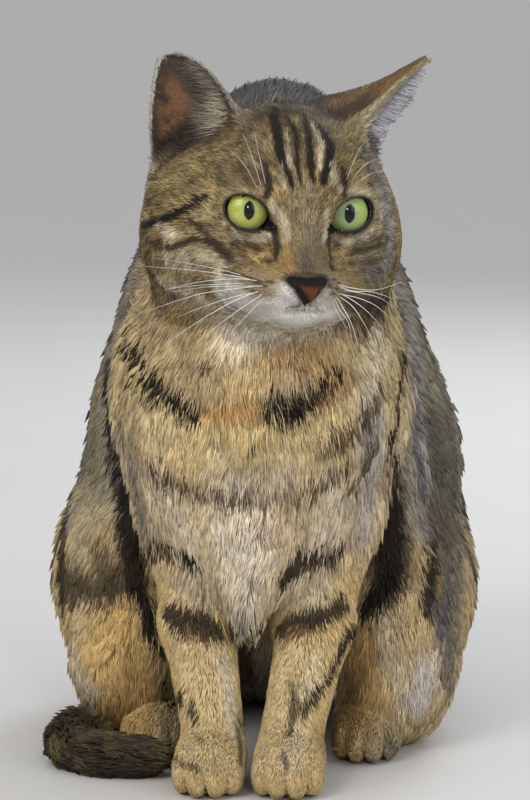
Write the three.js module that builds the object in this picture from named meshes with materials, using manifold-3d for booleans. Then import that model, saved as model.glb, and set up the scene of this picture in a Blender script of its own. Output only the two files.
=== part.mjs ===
// A seated domestic short-haired cat, life size, as a still display model.
// Millimetres. The cat faces -Y with its head turned a little to its left, +X is the cat's left side,
// +Z is up and the floor it sits on is z = 0. The outer surface of every solid is the tips of the coat.
// The body is one smooth form made of blended ellipsoids and tapered limbs, parted into nodes by thin cuts.
import * as THREE from "three";
import { mergeVertices } from "three/addons/utils/BufferGeometryUtils.js";
import Module from "manifold-3d";

const wasm = await Module();
wasm.setup();

// ---------------------------------------------------------------- driving dimensions
const GAP = 0.35; // between neighbouring solids
const SWELL = 0.6; // how far a part is swollen before its neighbour is cut back from it
const TORSO_STEP = 17; // facet sizes
const HEAD_STEP = 7.8;
const LEG_STEP = 9;
const PAW_STEP = 6.8;
const FOOT_STEP = 10;
const NOSE_STEP = 2.5;

const HEAD_CENTRE = [13.5, -42.3, 249.5]; // middle of the skull, level with the eyes
const HEAD_YAW = 16,
  HEAD_PITCH = 3,
  HEAD_ROLL = 2; // degrees
const EYE_RADIUS = 10.7;
const EYE_PLACE = [21.0, -23.4, 1.4]; // from the middle of the skull, for the eye on the +x side
const EYE_OUT = 9.5; // degrees that each eye looks outwards
const EYE_SLANT = 20; // degrees that the outer corner stands above the inner one
const LID = 1.7; // thickness of the lids over the eyeball
const LID_HALF_WIDTH = 8.8,
  LID_HALF_HEIGHT = 6.9;
const EAR_HEIGHT = 41.5,
  EAR_HALF_WIDTH = 21.5,
  EAR_CUP = 14.0,
  EAR_THICK = 3.0;
const EARS = {
  ear_right: { side: -1, base: [-36, 6, 24], tip: [-0.485, 0.05, 1.0], open: [-0.5, -0.86, 0] },
  ear_left: { side: 1, base: [37, 8, 30.8], tip: [0.68, 0.02, 0.8], open: [0.78, -0.42, -0.52] },
};
const ELBOW_CUT = 78,
  WRIST_CUT = 26; // heights at which the forelegs and paws are parted
const HAUNCH_CUT_X = 40,
  HAUNCH_CUT_Z = 116;
const TOE = { r: [5.6, 10, 9.4], z: 9.0, x: [6.6, 13.2, 21.2, 27.6], y: [-63, -68, -68, -62] };
const HIND_TOE = { r: [5.4, 9.5, 9.0], z: 8.8, x: [37, 43.5, 51, 57.6], y: [-1, -6.5, -6.5, 0] };
// the tail's middle line: x, y, z and half height, and half width
const TAIL = [
  [0, 150, 34, 26],
  [-20, 166, 24, 20],
  [-44, 160, 15.8, 16.6],
  [-60, 138, 13.8, 14.6],
  [-66, 105, 11.6, 12.4],
  [-66, 64, 10.6, 11.2],
  [-71, 32, 10, 10.6],
  [-82, 6, 9.6, 10.2],
  [-86, -12, 9.4, 10.2],
  [-78, -28, 9.2, 10],
  [-62, -36, 9, 9.8],
  [-46, -37, 8.6, 9.2],
];
const TAIL_PARTS = { tail_base: [0.045, 0.36], tail_middle: [0.36, 0.68], tail_tip: [0.68, 1] };
const TAIL_SIDES = 10,
  TAIL_STEP = 15; // mm between rings

// ---------------------------------------------------------------- smooth shapes, as distance fields
const smin = (a, b, k) => {
  const h = Math.max(k - Math.abs(a - b), 0) / k;
  return Math.min(a, b) - h * h * k * 0.25;
};
const smax = (a, b, k) => -smin(-a, -b, k);
const clamp = (v, a, b) => Math.min(Math.max(v, a), b);
function ell(p, c, r) {
  const x = (p[0] - c[0]) / r[0],
    y = (p[1] - c[1]) / r[1],
    z = (p[2] - c[2]) / r[2];
  const k0 = Math.sqrt(x * x + y * y + z * z);
  const k1 = Math.sqrt((x / r[0]) ** 2 + (y / r[1]) ** 2 + (z / r[2]) ** 2) + 1e-9;
  return (k0 * (k0 - 1)) / k1;
}
function limb(p, a, b, ra, rb) {
  const d = [b[0] - a[0], b[1] - a[1], b[2] - a[2]],
    q = [p[0] - a[0], p[1] - a[1], p[2] - a[2]];
  const t = clamp((q[0] * d[0] + q[1] * d[1] + q[2] * d[2]) / (d[0] ** 2 + d[1] ** 2 + d[2] ** 2), 0, 1);
  return Math.hypot(q[0] - t * d[0], q[1] - t * d[1], q[2] - t * d[2]) - (ra + (rb - ra) * t);
}

// ---------------------------------------------------------------- the head's own frame
const rad = (d) => (d * Math.PI) / 180;
const HEAD_TURN = new THREE.Matrix4()
  .makeRotationZ(rad(HEAD_YAW))
  .multiply(new THREE.Matrix4().makeRotationX(rad(HEAD_PITCH)))
  .multiply(new THREE.Matrix4().makeRotationY(rad(HEAD_ROLL)));
const HM = HEAD_TURN.elements; // column major
const toHead = (p) => {
  const q = [p[0] - HEAD_CENTRE[0], p[1] - HEAD_CENTRE[1], p[2] - HEAD_CENTRE[2]];
  return [0, 1, 2].map((j) => HM[4 * j] * q[0] + HM[4 * j + 1] * q[1] + HM[4 * j + 2] * q[2]);
};
const turnHead = (v) => [0, 1, 2].map((i) => HM[i] * v[0] + HM[4 + i] * v[1] + HM[8 + i] * v[2]);
const fromHead = (v) => turnHead(v).map((c, i) => c + HEAD_CENTRE[i]);

function head(p) {
  const h = toHead(p),
    s = [Math.abs(h[0]), h[1], h[2]];
  let d = ell(h, [0, 8, 8], [43, 46, 36]); // skull
  d = smin(d, ell(h, [-26.6, 0, -12], [25.5, 33, 27]), 16); // cheek bones
  d = smin(d, ell(h, [24, 0, -12], [24.5, 33, 27]), 16);
  d = smin(d, ell(h, [-31.7, 10, -20], [24, 26, 27]), 16); // cheek ruffs
  d = smin(d, ell(h, [25.4, 10, -20], [22.5, 26, 27]), 16);
  d = smin(d, ell(h, [-37.7, 6, -8], [20, 24, 26]), 14); // the right ruff stands fuller
  d = smin(d, ell(s, [14, -16, 12], [18, 16, 15]), 12); // brows
  d = smin(d, limb(h, [0, -15, 4], [0, -43, -20], 16, 9.5), 11); // bridge of the nose
  d = smin(d, limb(h, [21.5, 14, 37.3], [47, 12, 45.8], 11, 6.5), 8); // root of the turned left ear
  d = smin(d, ell(s, [12.6, -36.5, -29.3], [14.6, 15.2, 9.3]), 8); // whisker pads
  d = smin(d, ell(h, [0, -35.6, -35.6], [15.2, 13.2, 7.4]), 6); // chin
  d = smin(d, limb(h, [0, -4, -32.5], [0, -30, -33.5], 27.5, 13.5), 10); // lower jaw
  d = smin(d, ell(s, [17, -23.5, -31.5], [16, 18, 11.5]), 10); // fur of the lower cheeks
  d = smin(d, ell(h, [0, -49.8, -26.8], [9.6, 6.5, 6.2]), 4);
  return d;
}
function nose(p) {
  const h = toHead(p),
    s = [Math.abs(h[0]), h[1], h[2]];
  let d = ell(h, [0, -52.2, -27.0], [11.2, 6, 6.4]);
  d = smax(d, s[0] * 0.8 - (h[2] + 32.8) * 0.66 - 0.7, 1.6); // narrows to the lip
  d = smax(d, h[2] + 22.4 - s[0] * 0.1, 1.6); // flat top edge
  let n = limb(s, [4.5, -59.5, -27.6], [6.4, -54, -27.1], 1.35, 1.1); // nostrils
  n = smin(n, limb(s, [6.0, -58, -28.2], [8.6, -55, -28.9], 0.8, 0.6), 0.8);
  return smax(d, -n, 0.8);
}

// ---------------------------------------------------------------- the body
function neck(p) {
  let d = limb(p, [9, -14, 232], [0, 18, 176], 47, 62);
  d = smin(d, ell(p, [0, -18, 178], [58, 46, 46]), 22); // ruff at the throat
  return smin(d, limb(p, [6, 25, 264], [-3, 66, 214], 38.5, 58.5), 20); // nape and withers
}
function trunk(p) {
  let d = ell(p, [-0.5, 70, 165], [72.5, 74, 76]); // rib cage
  d = smin(d, ell(p, [-6.5, 92, 114], [84.5, 80, 92]), 30); // belly and loins
  d = smin(d, ell(p, [8, 75, 120], [79.5, 60, 64]), 22); // the left flank stands fuller
  d = smin(d, ell(p, [-3, 112, 60], [72, 64, 62]), 26); // rump
  d = smin(d, ell(p, [-2, -8, 128], [46, 44, 60]), 22); // chest
  return smin(d, limb(p, [-2, -32, 112], [-3, -36, 70], 24, 9), 14); // hair of the breast
}
const shoulders = (p) => ell([Math.abs(p[0]), p[1], p[2]], [32, 4, 146], [29, 40, 56]);
function torso(p) {
  let d = smin(trunk(p), neck(p), 24);
  d = smin(d, shoulders(p), 18);
  return smin(d, head(p), 16);
}
function foreleg(p, side) {
  const s = [p[0] * side, p[1], p[2]];
  let d = limb(s, [29, 0, 108], [25.5, -18, 64], 23, 16.5);
  return smin(d, limb(s, [25.5, -18, 64], [17.2, -40, 22], 16.5, 14), 8);
}
function forepaw(p, side) {
  const s = [p[0] * side, p[1], p[2]];
  let d = ell(s, [17, -51, 13], [16, 22, 14]);
  TOE.x.forEach((x, i) => (d = smin(d, ell(s, [x, TOE.y[i], TOE.z], TOE.r), 2.6)));
  return d;
}
function thigh(p, side) {
  const s = [p[0] * side, p[1], p[2]];
  let d = side < 0 ? ell(s, [60, 80, 68], [45, 62, 59]) : ell(s, [54.8, 77, 65], [42, 60, 54]);
  d = smin(d, ell(s, [61, 32, 42], [28, 33, 41]), 16); // knee
  return smin(d, side < 0 ? ell(s, [62, 45, 38], [24.5, 45, 26]) : ell(s, [59, 45, 27], [22.5, 44, 25.5]), 12); // long hair low on the haunch
}
function hindfoot(p, side) {
  const s = [p[0] * side, p[1], p[2]];
  let d = limb(s, [50, 112, 13], [48, 28, 12], 13.6, 12.6);
  d = smin(d, ell(s, [47, 12, 11.6], [15.5, 22, 12.6]), 8);
  HIND_TOE.x.forEach((x, i) => (d = smin(d, ell(s, [x, HIND_TOE.y[i], HIND_TOE.z], HIND_TOE.r), 2.6)));
  return d;
}
// the torso with its haunches, and with the forelegs down to the elbow cut
function torsoAndHaunches(p) {
  const legs = Math.max(Math.min(foreleg(p, -1), foreleg(p, 1)), ELBOW_CUT + 0.5 - p[2]);
  let d = smin(torso(p), legs, 12);
  return smin(d, Math.min(thigh(p, -1), thigh(p, 1)), 12);
}
const legAndPaw = (side) => (p) => smin(torso(p), smin(foreleg(p, side), forepaw(p, side), 5), 12);

// ---------------------------------------------------------------- from fields to closed meshes
// One vertex in every grid cell that the surface crosses, moved onto the surface, and one quad across every crossed edge.
function skinOf(field, lo, hi, step, swell) {
  const n = [0, 1, 2].map((i) => Math.ceil((hi[i] - lo[i]) / step) + 1);
  const at = (i, j, k) => (i * n[1] + j) * n[2] + k;
  const inBox = (p) => Math.max(...[0, 1, 2].map((i) => Math.max(lo[i] + 1.2 * step - p[i], p[i] - (lo[i] + (n[i] - 2.2) * step))));
  const value = (p) => Math.max(field(p), inBox(p));
  const f = new Float64Array(n[0] * n[1] * n[2]);
  for (let i = 0; i < n[0]; i++)
    for (let j = 0; j < n[1]; j++)
      for (let k = 0; k < n[2]; k++) f[at(i, j, k)] = value([lo[0] + i * step, lo[1] + j * step, lo[2] + k * step]) || 1e-9;
  const corner = [...Array(8).keys()].map((c) => [c & 1, (c >> 1) & 1, (c >> 2) & 1]);
  const edges = [];
  for (let a = 0; a < 8; a++) for (const bit of [1, 2, 4]) if (!(a & bit)) edges.push([a, a | bit]);
  const cell = new Int32Array(f.length).fill(-1),
    points = [];
  for (let i = 0; i < n[0] - 1; i++)
    for (let j = 0; j < n[1] - 1; j++)
      for (let k = 0; k < n[2] - 1; k++) {
        const v = corner.map((c) => f[at(i + c[0], j + c[1], k + c[2])]);
        const inside = v.filter((x) => x < 0).length;
        if (inside === 0 || inside === 8) continue;
        const sum = [0, 0, 0];
        let count = 0;
        for (const [a, b] of edges) {
          if (v[a] < 0 === v[b] < 0) continue;
          const t = v[a] / (v[a] - v[b]);
          for (let m = 0; m < 3; m++) sum[m] += corner[a][m] + t * (corner[b][m] - corner[a][m]);
          count++;
        }
        const p = [i, j, k].map((c, m) => lo[m] + (c + sum[m] / count) * step);
        for (let pass = 0; pass < 3; pass++) {
          const v0 = value(p),
            e = 0.05;
          const g = [0, 1, 2].map((m) => {
            const q = [...p];
            q[m] += e;
            return (value(q) - v0) / e;
          });
          const g2 = Math.max(g[0] ** 2 + g[1] ** 2 + g[2] ** 2, 0.2);
          const move = pass < 2 ? clamp(v0 / g2, -0.3 * step, 0.3 * step) : -swell / Math.sqrt(g2);
          for (let m = 0; m < 3; m++) p[m] -= move * g[m];
        }
        cell[at(i, j, k)] = points.length;
        points.push(p);
      }
  const tris = [];
  const quad = (a, b, c, d, flip) => {
    if (flip) [b, d] = [d, b];
    const far = (s, t) => Math.hypot(...points[s].map((x, m) => x - points[t][m]));
    if (far(a, c) < far(b, d)) tris.push(a, b, c, a, c, d);
    else tris.push(a, b, d, b, c, d);
  };
  for (let i = 1; i < n[0] - 1; i++)
    for (let j = 1; j < n[1] - 1; j++)
      for (let k = 1; k < n[2] - 1; k++) {
        const s = f[at(i, j, k)] < 0;
        if (s !== f[at(i + 1, j, k)] < 0)
          quad(cell[at(i, j - 1, k - 1)], cell[at(i, j, k - 1)], cell[at(i, j, k)], cell[at(i, j - 1, k)], !s);
        if (s !== f[at(i, j + 1, k)] < 0)
          quad(cell[at(i - 1, j, k - 1)], cell[at(i - 1, j, k)], cell[at(i, j, k)], cell[at(i, j, k - 1)], !s);
        if (s !== f[at(i, j, k + 1)] < 0)
          quad(cell[at(i - 1, j - 1, k)], cell[at(i, j - 1, k)], cell[at(i, j, k)], cell[at(i - 1, j, k)], !s);
      }
  return meshOf(points.flat(), tris);
}
function meshOf(positions, index) {
  const g = new THREE.BufferGeometry();
  g.setAttribute("position", new THREE.BufferAttribute(new Float32Array(positions), 3));
  g.setIndex(index);
  return g;
}
function solidOf(geometry) {
  const g = geometry.clone();
  for (const name of ["normal", "uv"]) if (g.attributes[name]) g.deleteAttribute(name);
  const m = mergeVertices(g, 1e-4);
  return new wasm.Manifold(
    new wasm.Mesh({
      numProp: 3,
      vertProperties: new Float32Array(m.attributes.position.array),
      triVerts: new Uint32Array(m.index.array),
    }),
  );
}
// A grid that happens to pinch two sheets into one edge isn't a closed body, so the grid is moved on a little and tried again.
// Swell moves every corner outwards, for the shape that a neighbour is cut back from.
function net(field, lo, hi, step, swell = 0) {
  let last;
  for (let tries = 0; tries < 8; tries++) {
    const shift = [0.37, 0.23, 0.31].map((s) => s * tries * step * 0.4);
    try {
      const made = largest(solidOf(skinOf(field, lo.map((v, i) => v - shift[i]), hi, step, swell)));
      if (!pinched(made)) return made;
      last = new Error("two sheets meet in an edge");
    } catch (error) {
      last = error;
    }
  }
  throw last;
}
// the body of most triangles, without any crumbs that a cut has left: faces belong together when they share an edge
function largest(solid) {
  const mesh = solid.getMesh(),
    tris = mesh.triVerts,
    n = mesh.vertProperties.length / mesh.numProp;
  const lead = Int32Array.from({ length: tris.length / 3 }, (_, i) => i);
  const find = (a) => {
    while (lead[a] !== a) a = lead[a] = lead[lead[a]];
    return a;
  };
  const ids = new Map(),
    place = new Int32Array(n);
  for (let i = 0; i < n; i++) {
    const k = [0, 1, 2].map((m) => mesh.vertProperties[i * mesh.numProp + m].toFixed(3)).join();
    if (!ids.has(k)) ids.set(k, ids.size);
    place[i] = ids.get(k);
  }
  const owner = new Map();
  for (let t = 0; t < tris.length; t++) {
    const a = place[tris[t]],
      b = place[tris[t % 3 === 2 ? t - 2 : t + 1]];
    const k = Math.min(a, b) * ids.size + Math.max(a, b),
      face = Math.floor(t / 3);
    if (owner.has(k)) lead[find(face)] = find(owner.get(k));
    else owner.set(k, face);
  }
  const size = new Map();
  for (let t = 0; t < lead.length; t++) size.set(find(t), (size.get(find(t)) || 0) + 1);
  if (size.size < 2) return solid;
  const best = [...size].sort((a, b) => b[1] - a[1])[0][0];
  const keep = [];
  for (let t = 0; t < lead.length; t++) if (find(t) === best) keep.push(tris[3 * t], tris[3 * t + 1], tris[3 * t + 2]);
  const positions = [];
  for (let i = 0; i < n; i++) for (let m = 0; m < 3; m++) positions.push(mesh.vertProperties[i * mesh.numProp + m]);
  return solidOf(meshOf(positions, keep));
}
// whether two sheets of the surface share an edge
function pinched(solid) {
  const mesh = solid.getMesh(),
    ids = new Map(),
    edges = new Map();
  const id = (i) => {
    const k = [0, 1, 2].map((m) => mesh.vertProperties[i * mesh.numProp + m].toFixed(3)).join();
    if (!ids.has(k)) ids.set(k, ids.size);
    return ids.get(k);
  };
  for (let t = 0; t < mesh.triVerts.length; t += 3) {
    const q = [0, 1, 2].map((m) => id(mesh.triVerts[t + m]));
    if (q[0] === q[1] || q[1] === q[2] || q[0] === q[2]) continue;
    for (let e = 0; e < 3; e++) {
      const k = [q[e], q[(e + 1) % 3]].sort((a, b) => a - b).join();
      edges.set(k, (edges.get(k) || 0) + 1);
    }
  }
  return [...edges.values()].some((c) => c !== 2);
}
// The same body with the hair-thin edges that a cut can leave drawn together.
function tidy(solid) {
  const mesh = solid.getMesh(),
    positions = [];
  for (let i = 0; i < mesh.vertProperties.length; i += mesh.numProp)
    positions.push(mesh.vertProperties[i], mesh.vertProperties[i + 1], mesh.vertProperties[i + 2]);
  for (const reach of [0.12, 0.2, 0.3, 0.06, 0.03, 0.015, 0.008, 0.003]) {
    // vertices joined by a short edge become one, at their middle
    const n = positions.length / 3;
    const lead = Int32Array.from({ length: n }, (_, i) => i);
    const find = (a) => {
      while (lead[a] !== a) a = lead[a];
      return a;
    };
    const tri = mesh.triVerts;
    for (let t = 0; t < tri.length; t += 3)
      for (let e = 0; e < 3; e++) {
        const a = tri[t + e],
          b = tri[t + ((e + 1) % 3)];
        const d = Math.hypot(positions[3 * a] - positions[3 * b], positions[3 * a + 1] - positions[3 * b + 1], positions[3 * a + 2] - positions[3 * b + 2]);
        if (d < reach) lead[Math.max(find(a), find(b))] = Math.min(find(a), find(b));
      }
    const kept = [],
      seen = new Map();
    for (let t = 0; t < tri.length; t += 3) {
      const q = [find(tri[t]), find(tri[t + 1]), find(tri[t + 2])];
      if (q[0] === q[1] || q[1] === q[2] || q[0] === q[2]) continue;
      const key = [...q].sort((a, b) => a - b).join();
      if (seen.has(key)) {
        kept[seen.get(key)] = null; // two faces back to back cancel out
        seen.delete(key);
        continue;
      }
      seen.set(key, kept.length);
      kept.push(q);
    }
    try {
      const made = largest(solidOf(meshOf(positions, kept.filter(Boolean).flat())));
      if (Math.abs(made.volume() / solid.volume() - 1) < 0.002 && !pinched(made)) return made;
    } catch (error) {
      continue;
    }
  }
  return solid;
}

// ---------------------------------------------------------------- cutters
const BIG = 900;
// everything on the side of a plane that its normal points to, moved along the normal by shift
function side(point, normal, shift = 0) {
  const nrm = new THREE.Vector3(...normal).normalize();
  const g = new THREE.BoxGeometry(BIG, BIG, BIG).translate(0, 0, BIG / 2);
  g.applyQuaternion(new THREE.Quaternion().setFromUnitVectors(new THREE.Vector3(0, 0, 1), nrm));
  g.translate(...[0, 1, 2].map((i) => point[i] + nrm.getComponent(i) * shift));
  return solidOf(g);
}
const aboveFloor = side([0, 0, 0], [0, 0, 1]);
// a closed tube through rings of points
function loft(rings) {
  const m = rings[0].length,
    positions = [],
    index = [];
  for (const r of rings) for (const p of r) positions.push(...p);
  for (let i = 0; i + 1 < rings.length; i++)
    for (let j = 0; j < m; j++) {
      const a = i * m + j,
        b = i * m + ((j + 1) % m);
      index.push(a, b, a + m, b, b + m, a + m);
    }
  const cap = (base, flip) => {
    const c = positions.length / 3;
    const mean = [0, 1, 2].map((k) => {
      let s = 0;
      for (let j = 0; j < m; j++) s += positions[(base + j) * 3 + k];
      return s / m;
    });
    positions.push(...mean);
    for (let j = 0; j < m; j++) {
      const a = base + j,
        b = base + ((j + 1) % m);
      index.push(...(flip ? [c, b, a] : [c, a, b]));
    }
  };
  cap(0, true);
  cap((rings.length - 1) * m, false);
  const made = solidOf(meshOf(positions, index));
  if (made.volume() > 0) return made;
  for (let t = 0; t < index.length; t += 3) [index[t + 1], index[t + 2]] = [index[t + 2], index[t + 1]];
  return solidOf(meshOf(positions, index));
}
function ringAt(centre, along, up, width, height, sides) {
  const t = new THREE.Vector3(...along).normalize();
  const u = new THREE.Vector3(...up).addScaledVector(t, -t.dot(new THREE.Vector3(...up))).normalize();
  const v = new THREE.Vector3().crossVectors(t, u);
  return [...Array(sides).keys()].map((j) => {
    const a = ((j + 0.5) / sides) * 2 * Math.PI;
    return [0, 1, 2].map((i) => centre[i] + u.getComponent(i) * Math.cos(a) * height + v.getComponent(i) * Math.sin(a) * width);
  });
}
// a groove cutter: a thin tube through points given as [x, y, z, radius] in the head's frame
function groove(path, sides = 5) {
  const w = path.map((q) => fromHead(q));
  return loft(
    w.map((p, i) => {
      const a = w[Math.max(i - 1, 0)],
        b = w[Math.min(i + 1, w.length - 1)];
      return ringAt(p, [b[0] - a[0], b[1] - a[1], b[2] - a[2]], [0, 0.31, 1], path[i][3], path[i][3], sides);
    }),
  );
}

// ---------------------------------------------------------------- head, nose, eyes
const LOW_CUT = [[0, -60, 199], [0, -0.12, 1]]; // under the chin
const BACK_CUT = [[0, 2, 250], [0, -1, 0.25]]; // behind the skull
const headRegion = (shift) => side(...LOW_CUT, shift).intersect(side(...BACK_CUT, shift));
const headBox = [[-78, -112, 180], [104, 40, 318]];
let headSolid = net(torso, ...headBox, HEAD_STEP).intersect(headRegion(0));
const headSwollen = net(torso, ...headBox, HEAD_STEP, SWELL).intersect(headRegion(-1));

// a point of the eye's frame (out, up, forward from the eyeball's centre) in the head's frame
function eyePoint(sgn, a, b, c) {
  const st = Math.sin(rad(EYE_SLANT)),
    ct = Math.cos(rad(EYE_SLANT)),
    so = Math.sin(rad(EYE_OUT)),
    co = Math.cos(rad(EYE_OUT));
  const a0 = a * ct - b * st,
    b0 = a * st + b * ct;
  return [sgn * (EYE_PLACE[0] + a0 * co + c * so), EYE_PLACE[1] + a0 * so - c * co, EYE_PLACE[2] + b0];
}
// outline of the lids: an almond with a narrow inner corner
function almond(a, b) {
  const k0 = Math.hypot(a / LID_HALF_WIDTH, b / LID_HALF_HEIGHT),
    k1 = Math.hypot(a / LID_HALF_WIDTH ** 2, b / LID_HALF_HEIGHT ** 2) + 1e-9;
  const t = clamp((-a - 4) / 8.6, 0, 1);
  return smin((k0 * (k0 - 1)) / k1, Math.hypot(a + 4 + 8.6 * t, b + 1.6 * t) - (4.6 * (1 - t) + 0.5 * t), 1.5);
}
function lidOutline(sides = 20) {
  const out = [];
  for (let j = 0; j < sides; j++) {
    const w = (j / sides) * 2 * Math.PI;
    let r = 2;
    while (almond(r * Math.cos(w), r * Math.sin(w)) < 0 && r < 20) r += 0.05;
    out.push([r * Math.cos(w), r * Math.sin(w)]);
  }
  return out;
}
const eyeball = (radius, sgn, wide, high) => {
  const at = fromHead(eyePoint(sgn, 0, 0, 0));
  return new THREE.SphereGeometry(radius, wide, high).rotateX(Math.PI / 2).translate(...at);
};
const eyes = {};
for (const [name, sgn] of [["eye_right", -1], ["eye_left", 1]]) {
  const outline = lidOutline();
  const opening = loft(
    [[1, 0.86], [EYE_RADIUS + 1, 1], [34, 1.25]].map(([c, k]) =>
      outline.map(([a, b]) => fromHead(eyePoint(sgn, a * k, b * k, c))),
    ),
  );
  headSolid = headSolid
    .add(solidOf(eyeball(EYE_RADIUS + LID, sgn, 18, 12)))
    .subtract(opening)
    .subtract(solidOf(eyeball(EYE_RADIUS + GAP, sgn, 14, 10)));
  eyes[name] = solidOf(eyeball(EYE_RADIUS, sgn, 14, 10));
}
const noseMiddle = fromHead([0, -53, -28]);
const noseBox = [noseMiddle.map((v) => v - 15), noseMiddle.map((v) => v + 15)];
const noseSolid = net(nose, ...noseBox, NOSE_STEP);
headSolid = headSolid.subtract(net(nose, ...noseBox, NOSE_STEP, GAP));
// philtrum and the line of the closed mouth
headSolid = headSolid.subtract(groove([[0, -58, -32, 1], [0, -53.5, -35.5, 1.1], [0, -51, -38, 1.2]]));
for (const sgn of [-1, 1])
  headSolid = headSolid.subtract(
    groove([[0, -53, -37.6, 1.1], [sgn * 6, -50.5, -39.4, 1.2], [sgn * 13, -45, -40.8, 1.2], [sgn * 19, -36, -40.2, 0.9]]),
  );

// ---------------------------------------------------------------- ears: cupped leaves, thickest at the root
function earSolid({ side: sgn, base, tip, open }) {
  const v = new THREE.Vector3(...tip).normalize();
  const w = new THREE.Vector3(...open).addScaledVector(v, -v.dot(new THREE.Vector3(...open))).normalize();
  const u = new THREE.Vector3().crossVectors(v, w).multiplyScalar(-sgn); // towards the outer edge
  const half = (t, s) => {
    const c = clamp(t, 0, 1);
    return EAR_HALF_WIDTH * (s > 0 ? Math.sqrt(1 - c ** 2.6) : (1 - c ** 1.35) ** 0.9);
  };
  const leaf = (t, s) => {
    const cup = EAR_CUP * (1 - 0.75 * clamp(t, 0, 1));
    const lat = s * half(t, s),
      depth = -cup * (1 - s * s);
    return new THREE.Vector3(...base).addScaledVector(u, lat).addScaledVector(v, t * EAR_HEIGHT).addScaledVector(w, depth);
  };
  const rows = [-0.2, 0.0, 0.18, 0.36, 0.53, 0.69, 0.82, 0.92, 0.985],
    cols = [-1, -0.75, -0.4, 0, 0.4, 0.75, 1];
  const rings = rows.map((t) => {
    const front = [],
      back = [];
    for (const s of cols) {
      const e = 0.02;
      const ds = leaf(t, s + (s < 0.5 ? e : 0)).sub(leaf(t, s - (s < 0.5 ? 0 : e)));
      const dt = leaf(t + e, s * 0.98).sub(leaf(t - e, s * 0.98));
      const nrm = new THREE.Vector3().crossVectors(ds, dt).normalize();
      if (nrm.dot(w) < 0) nrm.negate();
      const thick = EAR_THICK * (1 - 0.35 * clamp(t, 0, 1)) * (1 - 0.62 * s * s) + 3.2 * (1 - clamp(t, 0, 1)) ** 2 * (1 - s * s);
      const c = leaf(t, s);
      front.push(fromHead(c.clone().addScaledVector(nrm, thick / 2).toArray()));
      back.push(fromHead(c.clone().addScaledVector(nrm, -thick / 2).toArray()));
    }
    return [...front, ...back.reverse()];
  });
  return largest(loft(rings).subtract(headSwollen));
}

// ---------------------------------------------------------------- tail
const tailCurve = new THREE.CatmullRomCurve3(TAIL.map(([x, y, z]) => new THREE.Vector3(x, y, z)), false, "catmullrom", 0.5);
const tailRadius = new THREE.CatmullRomCurve3(TAIL.map((q) => new THREE.Vector3(q[3], 0, 0)), false, "catmullrom", 0.5);
function tailLength(from, to, swell) {
  const length = tailCurve.getLength(),
    cut = swell ? -GAP : GAP / 2;
  const a = Math.max(from * length + (from > 0.1 ? cut : 0), 0),
    b = Math.min(to * length - (to < 1 ? cut : 0), length);
  const steps = Math.max(Math.round((b - a) / TAIL_STEP), 2),
    rings = [];
  const ring = (d, k, out = 0) => {
    const u = clamp(d / length, 0, 1),
      t = tailCurve.getUtoTmapping(u);
    const p = tailCurve.getPoint(t),
      q = tailCurve.getTangent(t).normalize();
    const r = (tailRadius.getPoint(t).x + swell) * k;
    p.addScaledVector(q, out);
    return ringAt(p.toArray(), q.toArray(), [0, 0, 1], r, r, TAIL_SIDES);
  };
  for (let i = 0; i <= steps; i++) rings.push(ring(a + ((b - a) * i) / steps, 1));
  if (to === 1) for (const [out, k] of [[4, 0.93], [7.5, 0.72], [10, 0.4]]) rings.push(ring(length, k, out + swell * 0.6));
  return loft(rings);
}
const tailSwollen = tailLength(TAIL_PARTS.tail_base[0] - 0.012, 1, 2.2 * SWELL);

// ---------------------------------------------------------------- legs and feet
const legs = {},
  legsSwollen = [],
  feet = {},
  feetSwollen = [];
for (const [name, sgn] of [["right", -1], ["left", 1]]) {
  const region = (grow) =>
    side([sgn * (GAP / 2 - grow), 0, 0], [sgn, 0, 0])
      .intersect(side([0, 0, ELBOW_CUT + grow], [0, 0, -1]))
      .intersect(side([0, 15 + grow, 0], [0, -1, 0]));
  const box = sgn < 0 ? [[-62, -92, -14], [10, 26, 96]] : [[-10, -92, -14], [62, 26, 96]];
  const leg = net(legAndPaw(sgn), ...box, LEG_STEP).intersect(region(0)).intersect(aboveFloor);
  legsSwollen.push(largest(net(legAndPaw(sgn), ...box, LEG_STEP, SWELL).intersect(region(GAP))));
  legs["foreleg_" + name] = largest(leg.intersect(side([0, 0, WRIST_CUT + GAP], [0, 0, 1])));
  const pawBox = sgn < 0 ? [[-50, -88, -12], [9, 2, 42]] : [[-9, -88, -12], [50, 2, 42]];
  const paw = net(legAndPaw(sgn), ...pawBox, PAW_STEP).intersect(region(0)).intersect(aboveFloor);
  legs["forepaw_" + name] = largest(paw.intersect(side([0, 0, WRIST_CUT], [0, 0, -1])));
  const footBox = sgn < 0 ? [[-84, -34, -14], [-24, 142, 42]] : [[24, -34, -14], [84, 142, 42]];
  const foot = (p) => hindfoot(p, sgn);
  let f = net(foot, ...footBox, FOOT_STEP).intersect(aboveFloor);
  if (sgn < 0) f = f.subtract(tailSwollen);
  feet["hindfoot_" + name] = largest(f);
  feetSwollen.push(net(foot, ...footBox, FOOT_STEP, SWELL));
}

// ---------------------------------------------------------------- neck, trunk and haunches
const NECK_CUT = [[0, 0, 188], [0, -0.42, 0.91]];
const bodyBox = [[-124, -110, -24], [122, 200, 326]];
let body = net(torsoAndHaunches, ...bodyBox, TORSO_STEP).intersect(aboveFloor);
for (const cutter of [...legsSwollen, ...feetSwollen, tailSwollen]) body = body.subtract(cutter);
body = body.subtract(headRegion(-GAP));
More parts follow.
